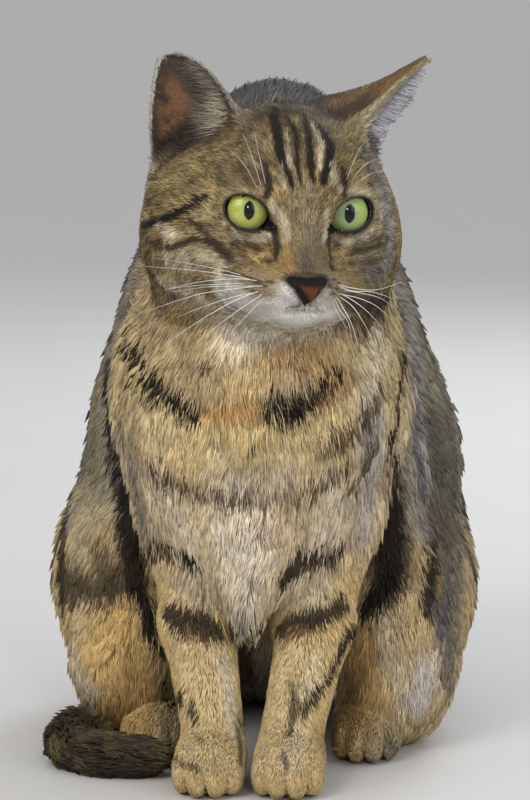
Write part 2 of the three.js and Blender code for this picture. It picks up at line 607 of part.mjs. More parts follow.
// below the elbows, all that stands between and before the knees belongs to the forelegs
body = body.subtract(
  side([0, 0, ELBOW_CUT + GAP], [0, 0, -1])
    .intersect(side([0, 4, 0], [0, -1, 0]))
    .intersect(side([46, 0, 0], [-1, 0, 0]))
    .intersect(side([-46, 0, 0], [1, 0, 0])),
);
const haunch = (sgn, shift) =>
  side([sgn * HAUNCH_CUT_X, 0, 0], [sgn, 0, 0], shift)
    .intersect(side([0, 0, HAUNCH_CUT_Z], [0, -0.18, -1], shift))
    .intersect(side([0, -5, 40], [0, 1, -0.33], shift));
const lower = body.intersect(side(...NECK_CUT, -GAP / 2).subtract(side(...NECK_CUT, -GAP / 2)).add(side(NECK_CUT[0], NECK_CUT[1].map((c) => -c), GAP / 2)));
const nodes = {
  head: largest(headSolid),
  nose: noseSolid,
  ...eyes,
  ear_left: earSolid(EARS.ear_left),
  ear_right: earSolid(EARS.ear_right),
  neck: largest(body.intersect(side(...NECK_CUT, GAP / 2))),
  trunk: largest(lower.subtract(haunch(-1, -GAP / 2)).subtract(haunch(1, -GAP / 2))),
  ...legs,
  thigh_left: largest(lower.intersect(haunch(1, GAP / 2))),
  thigh_right: largest(lower.intersect(haunch(-1, GAP / 2))),
  ...feet,
};
for (const [name, [from, to]] of Object.entries(TAIL_PARTS)) nodes[name] = tailLength(from, to, 0).intersect(aboveFloor);

// ---------------------------------------------------------------- colours and the finished group
const COLOURS = {
  head: 0x8b7350,
  nose: 0x8a4632,
  eye_left: 0x9db36a,
  eye_right: 0xa9b44a,
  ear_left: 0x6b4a2c,
  ear_right: 0x8a6248,
  neck: 0x9a7f55,
  trunk: 0x7d6f5c,
  foreleg_left: 0xb0905c,
  foreleg_right: 0xb0905c,
  forepaw_left: 0xb8985f,
  forepaw_right: 0xb8985f,
  thigh_left: 0xa07f4c,
  thigh_right: 0xa07f4c,
  hindfoot_left: 0xa88a58,
  hindfoot_right: 0xa88a58,
  tail_base: 0x5a4c3a,
  tail_middle: 0x4a3f30,
  tail_tip: 0x2b2620,
};
const model = new THREE.Group();
const built = Object.entries(nodes).map(([name, solid]) => {
  const m = tidy(solid).getMesh(),
    positions = [];
  for (let i = 0; i < m.vertProperties.length; i += m.numProp) positions.push(m.vertProperties[i], m.vertProperties[i + 1], m.vertProperties[i + 2]);
  return [name, meshOf(positions, Array.from(m.triVerts))];
});
// the origin is on the floor under the middle of the whole model's box
const box = new THREE.Box3();
for (const [, g] of built) {
  g.computeBoundingBox();
  box.union(g.boundingBox);
}
const middle = box.getCenter(new THREE.Vector3());
for (const [name, g] of built) {
  g.translate(-middle.x, -middle.y, 0);
  g.computeVertexNormals();
  const eye = name.startsWith("eye");
  const mesh = new THREE.Mesh(
    g,
    new THREE.MeshStandardMaterial({ color: COLOURS[name], roughness: eye ? 0.08 : name === "nose" ? 0.45 : 0.9, metalness: 0 }),
  );
  mesh.name = name;
  model.add(mesh);
}
export default model;
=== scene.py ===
# A seated tabby cat, life size: skin, coat, eyes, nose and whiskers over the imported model.
# Shapes are worked out in millimetres in the cat's own layout (x to the cat's left, y back, z up) and moved to the frame at the end.
import bpy, bmesh, math
import numpy as np
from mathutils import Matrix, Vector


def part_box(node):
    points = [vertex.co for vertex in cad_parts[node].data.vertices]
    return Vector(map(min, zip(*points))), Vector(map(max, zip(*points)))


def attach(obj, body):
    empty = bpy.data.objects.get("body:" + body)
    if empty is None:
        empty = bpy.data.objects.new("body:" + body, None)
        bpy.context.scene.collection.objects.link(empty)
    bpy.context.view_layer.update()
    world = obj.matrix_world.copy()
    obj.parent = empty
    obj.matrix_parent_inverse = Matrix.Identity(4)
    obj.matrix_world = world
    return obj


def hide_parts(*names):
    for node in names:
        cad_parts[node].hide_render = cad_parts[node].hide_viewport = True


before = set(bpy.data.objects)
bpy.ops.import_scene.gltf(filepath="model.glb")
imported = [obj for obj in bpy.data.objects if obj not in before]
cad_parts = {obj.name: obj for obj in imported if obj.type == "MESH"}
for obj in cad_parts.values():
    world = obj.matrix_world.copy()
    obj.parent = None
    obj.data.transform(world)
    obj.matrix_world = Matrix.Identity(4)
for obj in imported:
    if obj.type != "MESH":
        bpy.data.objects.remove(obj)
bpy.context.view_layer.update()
import openvdb
from mathutils import Matrix, Vector

F4 = np.float32
RNG = np.random.default_rng(20)

# ------------------------------------------------------------------ small maths
def V(*a): return np.array(a, float)
def unit(a):
    a = np.asarray(a, float)
    return a / np.linalg.norm(a)
def smin(a, b, k):
    h = np.maximum(k - np.abs(a - b), 0.0) / k
    return np.minimum(a, b) - h * h * (k * 0.25)
def smax(a, b, k): return -smin(-a, -b, k)
def step(a, b, x):
    t = np.clip((x - a) / (b - a), 0, 1)
    return t * t * (3 - 2 * t)
def ell(P, c, r):
    x = (P[0] - c[0]) / r[0]; y = (P[1] - c[1]) / r[1]; z = (P[2] - c[2]) / r[2]
    k0 = np.sqrt(x * x + y * y + z * z)
    k1 = np.sqrt((x / r[0]) ** 2 + (y / r[1]) ** 2 + (z / r[2]) ** 2) + 1e-9
    return k0 * (k0 - 1.0) / k1
def limb(P, a, b, ra, rb):
    dx, dy, dz = b[0] - a[0], b[1] - a[1], b[2] - a[2]
    px, py, pz = P[0] - a[0], P[1] - a[1], P[2] - a[2]
    t = np.clip((px * dx + py * dy + pz * dz) / (dx * dx + dy * dy + dz * dz), 0, 1)
    qx = px - t * dx; qy = py - t * dy; qz = pz - t * dz
    return np.sqrt(qx * qx + qy * qy + qz * qz) - (ra + (rb - ra) * t)

# ------------------------------------------------------------------ the head's frame
HEAD_C = V(13.5, -42.3, 249.5)
def head_turn():
    y, p, r = [math.radians(v) for v in (16.0, 3.0, 2.0)]
    Rz = np.array([[math.cos(y), -math.sin(y), 0], [math.sin(y), math.cos(y), 0], [0, 0, 1]])
    Rx = np.array([[1, 0, 0], [0, math.cos(p), -math.sin(p)], [0, math.sin(p), math.cos(p)]])
    Ry = np.array([[math.cos(r), 0, math.sin(r)], [0, 1, 0], [-math.sin(r), 0, math.cos(r)]])
    return Rz @ Rx @ Ry
HM = head_turn()
def to_head(P):
    q = [P[i] - HEAD_C[i] for i in range(3)]
    return tuple((HM[0, j] * q[0] + HM[1, j] * q[1] + HM[2, j] * q[2]) for j in range(3))
def from_head(p): return HEAD_C + HM @ np.asarray(p, float)
def from_head_n(A): return HEAD_C + np.asarray(A, float) @ HM.T
EYE = V(21.0, -23.4, 1.4)
EYE_R = 10.7
EYE_OUT, EYE_TILT = math.radians(9.5), math.radians(20.0)
def eye_local(S):
    x, y, z = S[0] - EYE[0], S[1] - EYE[1], S[2] - EYE[2]
    so, co = math.sin(EYE_OUT), math.cos(EYE_OUT)
    a = x * co + y * so; c = x * so - y * co; b = z
    st, ct = math.sin(EYE_TILT), math.cos(EYE_TILT)
    return a * ct + b * st, -a * st + b * ct, c
def eye_point(sgn, a, b, c):
    st, ct = math.sin(EYE_TILT), math.cos(EYE_TILT)
    so, co = math.sin(EYE_OUT), math.cos(EYE_OUT)
    a0 = a * ct - b * st; b0 = a * st + b * ct
    return np.stack([sgn * (EYE[0] + a0 * co + c * so), EYE[1] + a0 * so - c * co, EYE[2] + b0], -1)
def almond(a, b, grow=0.0):
    ex, ey = 8.9 + grow, 6.5 + grow
    k0 = np.sqrt((a / ex) ** 2 + (b / ey) ** 2); k1 = np.sqrt((a / ex ** 2) ** 2 + (b / ey ** 2) ** 2) + 1e-9
    d = k0 * (k0 - 1) / k1
    t = np.clip((-a - 4.0) / 8.6, 0, 1)
    q = np.sqrt((a + 4.0 + 8.6 * t) ** 2 + (b + 1.6 * t) ** 2) - (4.6 * (1 - t) + 0.5 * t + grow)
    return smin(d, q, 1.5)

# ------------------------------------------------------------------ the coat's outer surface
def f_head(P):
    h = to_head(P); S = (np.abs(h[0]), h[1], h[2])
    d = ell(h, (0, 8, 8), (43, 46, 36))
    d = smin(d, ell(h, (-26.6, 0, -12), (25.5, 33, 27)), 16)
    d = smin(d, ell(h, (24, 0, -12), (24.5, 33, 27)), 16)
    d = smin(d, ell(h, (-31.7, 10, -20), (24, 26, 27)), 16)
    d = smin(d, ell(h, (25.4, 10, -20), (22.5, 26, 27)), 16)
    d = smin(d, ell(h, (-37.7, 6, -8), (20, 24, 26)), 14)
    d = smin(d, ell(S, (14, -16, 12), (18, 16, 15)), 12)
    d = smin(d, limb(h, (0, -15, 4), (0, -43, -20), 16, 9.5), 11)
    d = smin(d, limb(h, (21.5, 14, 37.3), (47, 12, 45.8), 11, 6.5), 8)
    d = smin(d, ell(S, (12.6, -36.5, -29.3), (14.6, 15.2, 9.3)), 8)
    d = smin(d, ell(h, (0, -35.6, -35.6), (15.2, 13.2, 7.4)), 6)
    d = smin(d, limb(h, (0, -4, -32.5), (0, -30, -33.5), 27.5, 13.5), 10)
    d = smin(d, ell(S, (17, -23.5, -31.5), (16, 18, 11.5)), 10)
    return smin(d, ell(h, (0, -49.8, -26.8), (9.6, 6.5, 6.2)), 4)
def f_nose(h):
    x, y, z = h; ax = np.abs(x); S = (ax, y, z)
    d = ell(h, (0, -52.2, -27.0), (11.2, 6.0, 6.4))
    d = smax(d, ax * 0.80 - (z + 32.8) * 0.66 - 0.7, 1.6)
    d = smax(d, z + 22.4 - ax * 0.10, 1.6)
    n = limb(S, (4.5, -59.5, -27.6), (6.4, -54.0, -27.1), 1.35, 1.1)
    n = smin(n, limb(S, (6.0, -58.0, -28.2), (8.6, -55.0, -28.9), 0.8, 0.6), 0.8)
    d = smax(d, -n, 0.8)
    return smax(d, -limb(h, (0, -59.2, -27.0), (0, -57, -34.2), 0.45, 0.55), 0.8)
EAR_H, EAR_W, EAR_CUP = 41.5, 21.5, 14.0
def ear_axes(side):
    if side < 0: base, tip, opn = V(-36, 6, 24), V(-0.485, 0.05, 1.0), V(-0.50, -0.86, 0.0)
    else: base, tip, opn = V(37, 8, 30.8), V(0.68, 0.02, 0.80), V(0.78, -0.42, -0.52)
    v = unit(tip); w = unit(opn - np.dot(opn, v) * v); u = np.cross(v, w)
    return from_head(base), HM @ u * (1 if side < 0 else -1), HM @ v, HM @ w
EARS = {s: ear_axes(s) for s in (-1, 1)}
def ear_local(P, side):
    b, u, v, w = EARS[side]
    q = [P[i] - b[i] for i in range(3)]
    return tuple(q[0] * a[0] + q[1] * a[1] + q[2] * a[2] for a in (u, v, w))
def ear_sheet(lat, vv):
    tt = np.clip(vv / EAR_H, 0, 1)
    hw = np.where(lat > 0, EAR_W * np.sqrt(np.clip(1 - tt ** 2.6, 0, 1)), EAR_W * np.clip(1 - tt ** 1.35, 0, 1) ** 0.9) + 0.01
    dep = EAR_CUP * (1 - 0.75 * tt)
    s = np.clip(lat / np.maximum(hw, 1.0), -1.8, 1.8)
    return tt, hw, -dep * (1 - s * s)
def f_ear(P, side, thin=0.0):
    lat, vv, W = ear_local(P, side)
    tt, hw, ws = ear_sheet(lat, vv)
    e = 0.4
    w1 = ear_sheet(lat + e, vv)[2] - ear_sheet(lat - e, vv)[2]; w2 = ear_sheet(lat, vv + e)[2] - ear_sheet(lat, vv - e)[2]
    g = np.sqrt(1 + np.minimum((w1 / (2 * e)) ** 2 + (w2 / (2 * e)) ** 2, 9.0))
    sheet = np.abs(W - ws) / g - (1.5 * (1 - 0.35 * tt) - thin + 1.6 * (1 - tt) ** 2)
    edge = (np.abs(lat) - hw + thin) * np.where(lat < 0, 0.72, 0.9)
    d = smax(sheet, edge, 1.0)
    d = smax(d, vv - EAR_H + thin, 1.0)
    return smax(d, -(vv + 10), 3.0)
def f_neck(P):
    d = limb(P, (9, -14, 232), (0, 18, 176), 47, 62)
    d = smin(d, ell(P, (0, -18, 178), (58, 46, 46)), 22)
    return smin(d, limb(P, (6, 25, 264), (-3, 66, 214), 38.5, 58.5), 20)
def f_trunk(P):
    d = ell(P, (-0.5, 70, 165), (72.5, 74, 76))
    d = smin(d, ell(P, (-6.5, 92, 114), (84.5, 80, 92)), 30)
    d = smin(d, ell(P, (8, 75, 120), (79.5, 60, 64)), 22)
    d = smin(d, ell(P, (-3, 112, 60), (72, 64, 62)), 26)
    d = smin(d, ell(P, (-2, -8, 128), (46, 44, 60)), 22)
    return smin(d, limb(P, (-2, -32, 112), (-3, -36, 70), 24, 9), 14)
def f_shoulder(P): return ell((np.abs(P[0]), P[1], P[2]), (32, 4, 146), (29, 40, 56))
def f_foreleg(P, s):
    S = (P[0] * s, P[1], P[2])
    return smin(limb(S, (29, 0, 108), (25.5, -18, 64), 23, 16.5), limb(S, (25.5, -18, 64), (17.2, -40, 22), 16.5, 14.0), 8)
def f_paw(P, s):
    S = (P[0] * s, P[1], P[2])
    d = ell(S, (17.0, -51, 13), (16.0, 22, 14))
    for tx, ty in ((6.6, -63), (13.2, -68), (21.2, -68), (27.6, -62)):
        d = smin(d, ell(S, (tx, ty, 9.0), (5.6, 10, 9.4)), 2.6)
    return d
def f_thigh(P, s):
    S = (P[0] * s, P[1], P[2])
    d = ell(S, (60, 80, 68), (45, 62, 59)) if s < 0 else ell(S, (54.8, 77, 65), (42, 60, 54))
    d = smin(d, ell(S, (61, 32, 42), (28, 33, 41)), 16)
    return smin(d, ell(S, (62, 45, 38), (24.5, 45, 26)) if s < 0 else ell(S, (59, 45, 27), (22.5, 44, 25.5)), 12)
def f_hind(P, s):
    S = (P[0] * s, P[1], P[2])
    d = limb(S, (50, 112, 13), (48, 28, 12), 13.6, 12.6)
    d = smin(d, ell(S, (47, 12, 11.6), (15.5, 22, 12.6)), 8)
    for tx, ty in ((37, -1), (43.5, -6.5), (51, -6.5), (57.6, 0)):
        d = smin(d, ell(S, (tx, ty, 8.8), (5.4, 9.5, 9.0)), 2.6)
    return d
TAIL = [(0, 150, 34, 26), (-20, 166, 24, 20), (-44, 160, 15.8, 16.6), (-60, 138, 13.8, 14.6), (-66, 105, 11.6, 12.4), (-66, 64, 10.6, 11.2), (-71, 32, 10, 10.6),
        (-82, 6, 9.6, 10.2), (-86, -12, 9.4, 10.2), (-78, -28, 9.2, 10), (-62, -36, 9, 9.8), (-46, -37, 8.6, 9.2)]
def spline(pts, n):
    p = np.asarray(pts, float); p = np.vstack([2 * p[0] - p[1], p, 2 * p[-1] - p[-2]]); out = []
    for i in range(1, len(p) - 2):
        for t in np.arange(n) / n:
            a, b, c, d = p[i - 1], p[i], p[i + 1], p[i + 2]
            out.append(0.5 * (2 * b + (c - a) * t + (2 * a - 5 * b + 4 * c - d) * t * t + (3 * b - a - 3 * c + d) * t ** 3))
    out.append(p[-2]); return np.array(out)
TAIL_PTS = spline(TAIL, 3)
def f_tail(P, along=False):
    d = None; best = None; s = 0.0; arc = None
    for p, q in zip(TAIL_PTS[:-1], TAIL_PTS[1:]):
        e = limb(P, p[:3], q[:3], p[3], q[3])
        if along:
            L = np.linalg.norm(q[:3] - p[:3])
            dd = (q[:3] - p[:3]) / L
            t = np.clip(((P[0] - p[0]) * dd[0] + (P[1] - p[1]) * dd[1] + (P[2] - p[2]) * dd[2]), 0, L)
            if best is None: best, arc, way = e.copy(), t + s, np.repeat(dd[:, None], e.size, 1).reshape((3,) + e.shape)
            else:
                m = e < best; best = np.where(m, e, best); arc = np.where(m, s + t, arc)
                way = np.where(m[None], dd.reshape((3,) + (1,) * e.ndim), way)
            s += L
        d = e if d is None else smin(d, e, 3.0)
    return (d, arc, way) if along else d

REGIONS = ["head", "neck", "trunk", "leg", "paw", "thigh", "hind", "tail", "earR", "earL"]
def parts(P):
    r = {}
    r["head"] = f_head(P); r["neck"] = f_neck(P)
    r["trunk"] = smin(f_trunk(P), f_shoulder(P), 18)
    r["leg"] = np.minimum(f_foreleg(P, -1), f_foreleg(P, 1))
    r["pawL"], r["pawR"] = f_paw(P, 1), f_paw(P, -1)
    r["paw"] = np.minimum(r["pawL"], r["pawR"])
    r["thigh"] = np.minimum(f_thigh(P, -1), f_thigh(P, 1))
    r["hind"] = np.minimum(f_hind(P, -1), f_hind(P, 1))
    r["tail"] = f_tail(P)
    r["earR"], r["earL"] = f_ear(P, -1, 0.55), f_ear(P, 1, 0.55)
    return r
def body_of(P, r):
    d = smin(r["trunk"], r["neck"], 24)
    fl = [smin(f_foreleg(P, s), r["pawL" if s > 0 else "pawR"], 5) for s in (-1, 1)]
    d = smin(d, np.minimum(fl[0], fl[1]), 12)
    d = smin(d, r["thigh"], 12)
    return smin(d, r["hind"], 6)
DEPTH = {"neck": 6.0, "trunk": 4.6, "leg": 2.6, "paw": 1.5, "thigh": 4.4, "hind": 1.7, "tail": 4.2, "earR": 0.0, "earL": 0.0}
def coat_depth(P, r):
    h = to_head(P)
    dh = 0.9 + 1.3 * step(-34, -12, h[1]) + 2.2 * step(-10, 22, h[1]) + 1.2 * step(-22, -42, h[2]) * step(-40, -15, h[1])
    ev = eye_local((np.abs(h[0]), h[1], h[2]))
    near_eye = step(17, 10, np.sqrt(ev[0] ** 2 + ev[1] ** 2 + ev[2] ** 2 * 0.4))
    dh = dh * (1 - near_eye) + 0.5 * near_eye
    m = np.minimum.reduce([r[k] for k in REGIONS])
    tot = 0.0; acc = 0.0
    for k in REGIONS:
        w = np.exp(-(np.maximum(r[k] - m, 0)) / 3.5)
        tot = tot + w
        acc = acc + w * (dh if k == "head" else DEPTH[k])
    breast = step(60, 75, P[2]) * step(150, 120, P[2]) * step(0, -20, P[1])
    return acc / tot + 1.5 * breast
LIP = ((0, -35.4), (3, -35.7), (6, -35.9), (9, -35.8), (12, -35.3), (16, -34.0), (24, -31.0))  # the closed mouth: height of its line, from the middle outwards
def lips(h):
    """how far a point is from the line of the closed mouth and its cleft, across them"""
    ax = np.abs(h[0]); z = np.interp(ax, [p[0] for p in LIP], [p[1] for p in LIP]).astype(F4)
    line = np.abs(h[2] - z) + 2.2 * step(6, 11, ax)
    cleft = np.maximum(ax, np.abs(h[2] + 34.6) - 1.2)
    return np.where(h[1] < -30, np.minimum(line, cleft), 9.0)
def skin(P, detail=True):
    r = parts(P)
    d = smin(body_of(P, r), r["head"], 19) + coat_depth(P, r)
    for k in ("earR", "earL"): d = smin(d, r[k], 5)
    k = np.clip((P[1] - 120) / 40, 0, 1) * 12 + 0.8
    d = smin(d, r["tail"] + DEPTH["tail"], k)
    if detail:
        h = to_head(P); S = (np.abs(h[0]), h[1], h[2])
        a, b, c = eye_local(S)
        ball = np.sqrt(a * a + b * b + c * c)
        d = smin(d, ball - (EYE_R + 1.0), 4.0)
        d = smax(d, -smax(almond(a, b, 0.5), 3.6 - c, 1.0), 0.8)
        d = smax(d, -smax(lips(h) - 0.55, -(d + 1.7), 0.8), 0.9)
    return smax(d, 0.35 - P[2], 1.5)

# ------------------------------------------------------------------ fields to meshes
def band_mesh(f, lo, hi, vox, name, B=8, safety=1.35):
    """Mesh of f = 0: the field is only worked out in the blocks of B^3 voxels that the surface can pass through."""
    lo = np.asarray(lo, float); nb = np.ceil((np.asarray(hi) - lo) / (vox * B)).astype(int)
    c = [lo[i] + vox * B * (np.arange(nb[i]) + 0.5) for i in range(3)]
    X, Y, Z = np.meshgrid(*[a.astype(F4) for a in c], indexing="ij")
    Fc = f((X, Y, Z))
    reach = vox * B * 0.87 * safety + 3.2 * vox
    act = np.argwhere(np.abs(Fc) < reach)
    G = np.repeat(np.repeat(np.repeat(np.sign(Fc).astype(F4) * 3 * vox, B, 0), B, 1), B, 2)
    off = np.stack(np.meshgrid(*[np.arange(B)] * 3, indexing="ij"), -1).reshape(-1, 3)
    for i in range(0, len(act), 1500):
        a = act[i:i + 1500]
        idx = (a[:, None, :] * B + off[None]).reshape(-1, 3)
        P = (lo + idx * vox).astype(F4)
        G[idx[:, 0], idx[:, 1], idx[:, 2]] = np.clip(f((P[:, 0], P[:, 1], P[:, 2])), -3 * vox, 3 * vox)
    g = openvdb.FloatGrid(3.0 * vox); g.copyFromArray(G)
    pts, quads = g.convertToQuads(0.0)
    return np.asarray(pts, float) * vox + lo, np.asarray(quads)[:, ::-1].astype(int)
def newton(f, P, n=2, e=0.08, cap=0.6):
    P = P.copy()
    for _ in range(n):
        a = [P[:, i].copy() for i in range(3)]
        v = f(tuple(a)); G = []
        for i in range(3):
            b = list(a); b[i] = a[i] + e; G.append((f(tuple(b)) - v) / e)
        G = np.stack(G, 1); g2 = np.maximum((G ** 2).sum(1), 0.25)
        P -= G * np.clip(v / g2, -cap, cap)[:, None]
    return P
OFF = from_head((EYE[0], EYE[1], EYE[2])) - np.mean(np.array(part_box("eye_left")), axis=0) * 1000.0
OFF[2] = 0.0
def to_frame(P): return (np.asarray(P, float) - OFF) / 1000.0
def link(name, me):
    o = bpy.data.objects.new(name, me)
    bpy.context.scene.collection.objects.link(o)
    return o
def mesh_from(name, verts_mm, faces, smooth=True):
    """faces: an (n, 3) or (n, 4) array of corners"""
    me = bpy.data.meshes.new(name)
    v = to_frame(verts_mm).astype(F4); faces = np.asarray(faces, dtype=np.int32); k = faces.shape[1]
    me.vertices.add(len(v)); me.vertices.foreach_set("co", v.ravel())
    me.loops.add(faces.size); me.loops.foreach_set("vertex_index", faces.ravel())
    me.polygons.add(len(faces)); me.polygons.foreach_set("loop_start", np.arange(0, faces.size, k, dtype=np.int32))
    me.polygons.foreach_set("use_smooth", np.full(len(faces), smooth, dtype=bool))
    me.update(calc_edges=True); me.validate()
    return me
def colour_points(me, rgb):
    a = me.color_attributes.new("Col", "FLOAT_COLOR", "POINT")
    c = np.ones((len(rgb), 4), F4); c[:, :3] = rgb
    a.data.foreach_set("color", c.ravel())

# ------------------------------------------------------------------ noise for markings and locks
def hash3(i, j, k, s):
    n = (i * 73856093) ^ (j * 19349663) ^ (k * 83492791) ^ (s * 2654435)
    n = (n ^ (n >> 13)) * 1274126177
    n = n ^ (n >> 16)
    return (n & 0xFFFFF).astype(F4) / F4(0xFFFFF)
def vnoise(P, size, seed=0):
    q = [np.asarray(P[i] / size, dtype=F4) for i in range(3)]
    fl = [np.floor(a) for a in q]; fr = [a - b for a, b in zip(q, fl)]
    w = [a * a * (3 - 2 * a) for a in fr]; I = [a.astype(np.int64) for a in fl]
    out = 0.0
    for a in (0, 1):
        for b in (0, 1):
            for c in (0, 1):
                out = out + hash3(I[0] + a, I[1] + b, I[2] + c, seed) * (w[0] if a else 1 - w[0]) * (w[1] if b else 1 - w[1]) * (w[2] if c else 1 - w[2])
    return out
def fbm(P, size, seed=0, n=3):
    s = 0.0; t = 0.0
    for i in range(n): s = s + vnoise(P, size / 2 ** i, seed + i) * 0.55 ** i; t += 0.55 ** i
    return s / t

# ------------------------------------------------------------------ marks of the coat: name, colour, strength, softness, [(x, y, z, radius), ...] in mm
# tones of the coat, in linear light
TONES = {
    "slate": (0.088, 0.086, 0.093),
    "black": (0.016, 0.013, 0.011),
    "soot": (0.045, 0.033, 0.022),
    "umber": (0.085, 0.060, 0.035),
    "charcoal": (0.100, 0.090, 0.082),
    "warm grey": (0.140, 0.115, 0.092),
    "honey": (0.255, 0.192, 0.092),
    "dark honey": (0.165, 0.125, 0.070),
    "amber": (0.315, 0.205, 0.090),
    "grey brown": (0.165, 0.148, 0.125),
    "taupe": (0.200, 0.165, 0.120),
    "rust": (0.220, 0.130, 0.060),
    "olive": (0.235, 0.205, 0.130),
    "tan": (0.280, 0.215, 0.125),
    "ginger": (0.460, 0.260, 0.090),
    "gold": (0.400, 0.275, 0.115),
    "fawn": (0.330, 0.260, 0.170),
    "straw": (0.450, 0.345, 0.190),
    "bright straw": (0.520, 0.420, 0.230),
    "buff": (0.430, 0.365, 0.270),
    "cream": (0.500, 0.430, 0.310),
    "ivory": (0.600, 0.560, 0.490),
    "white": (0.780, 0.750, 0.700),
    "pearl": (0.440, 0.420, 0.400),
    "ash": (0.262, 0.242, 0.225),
}
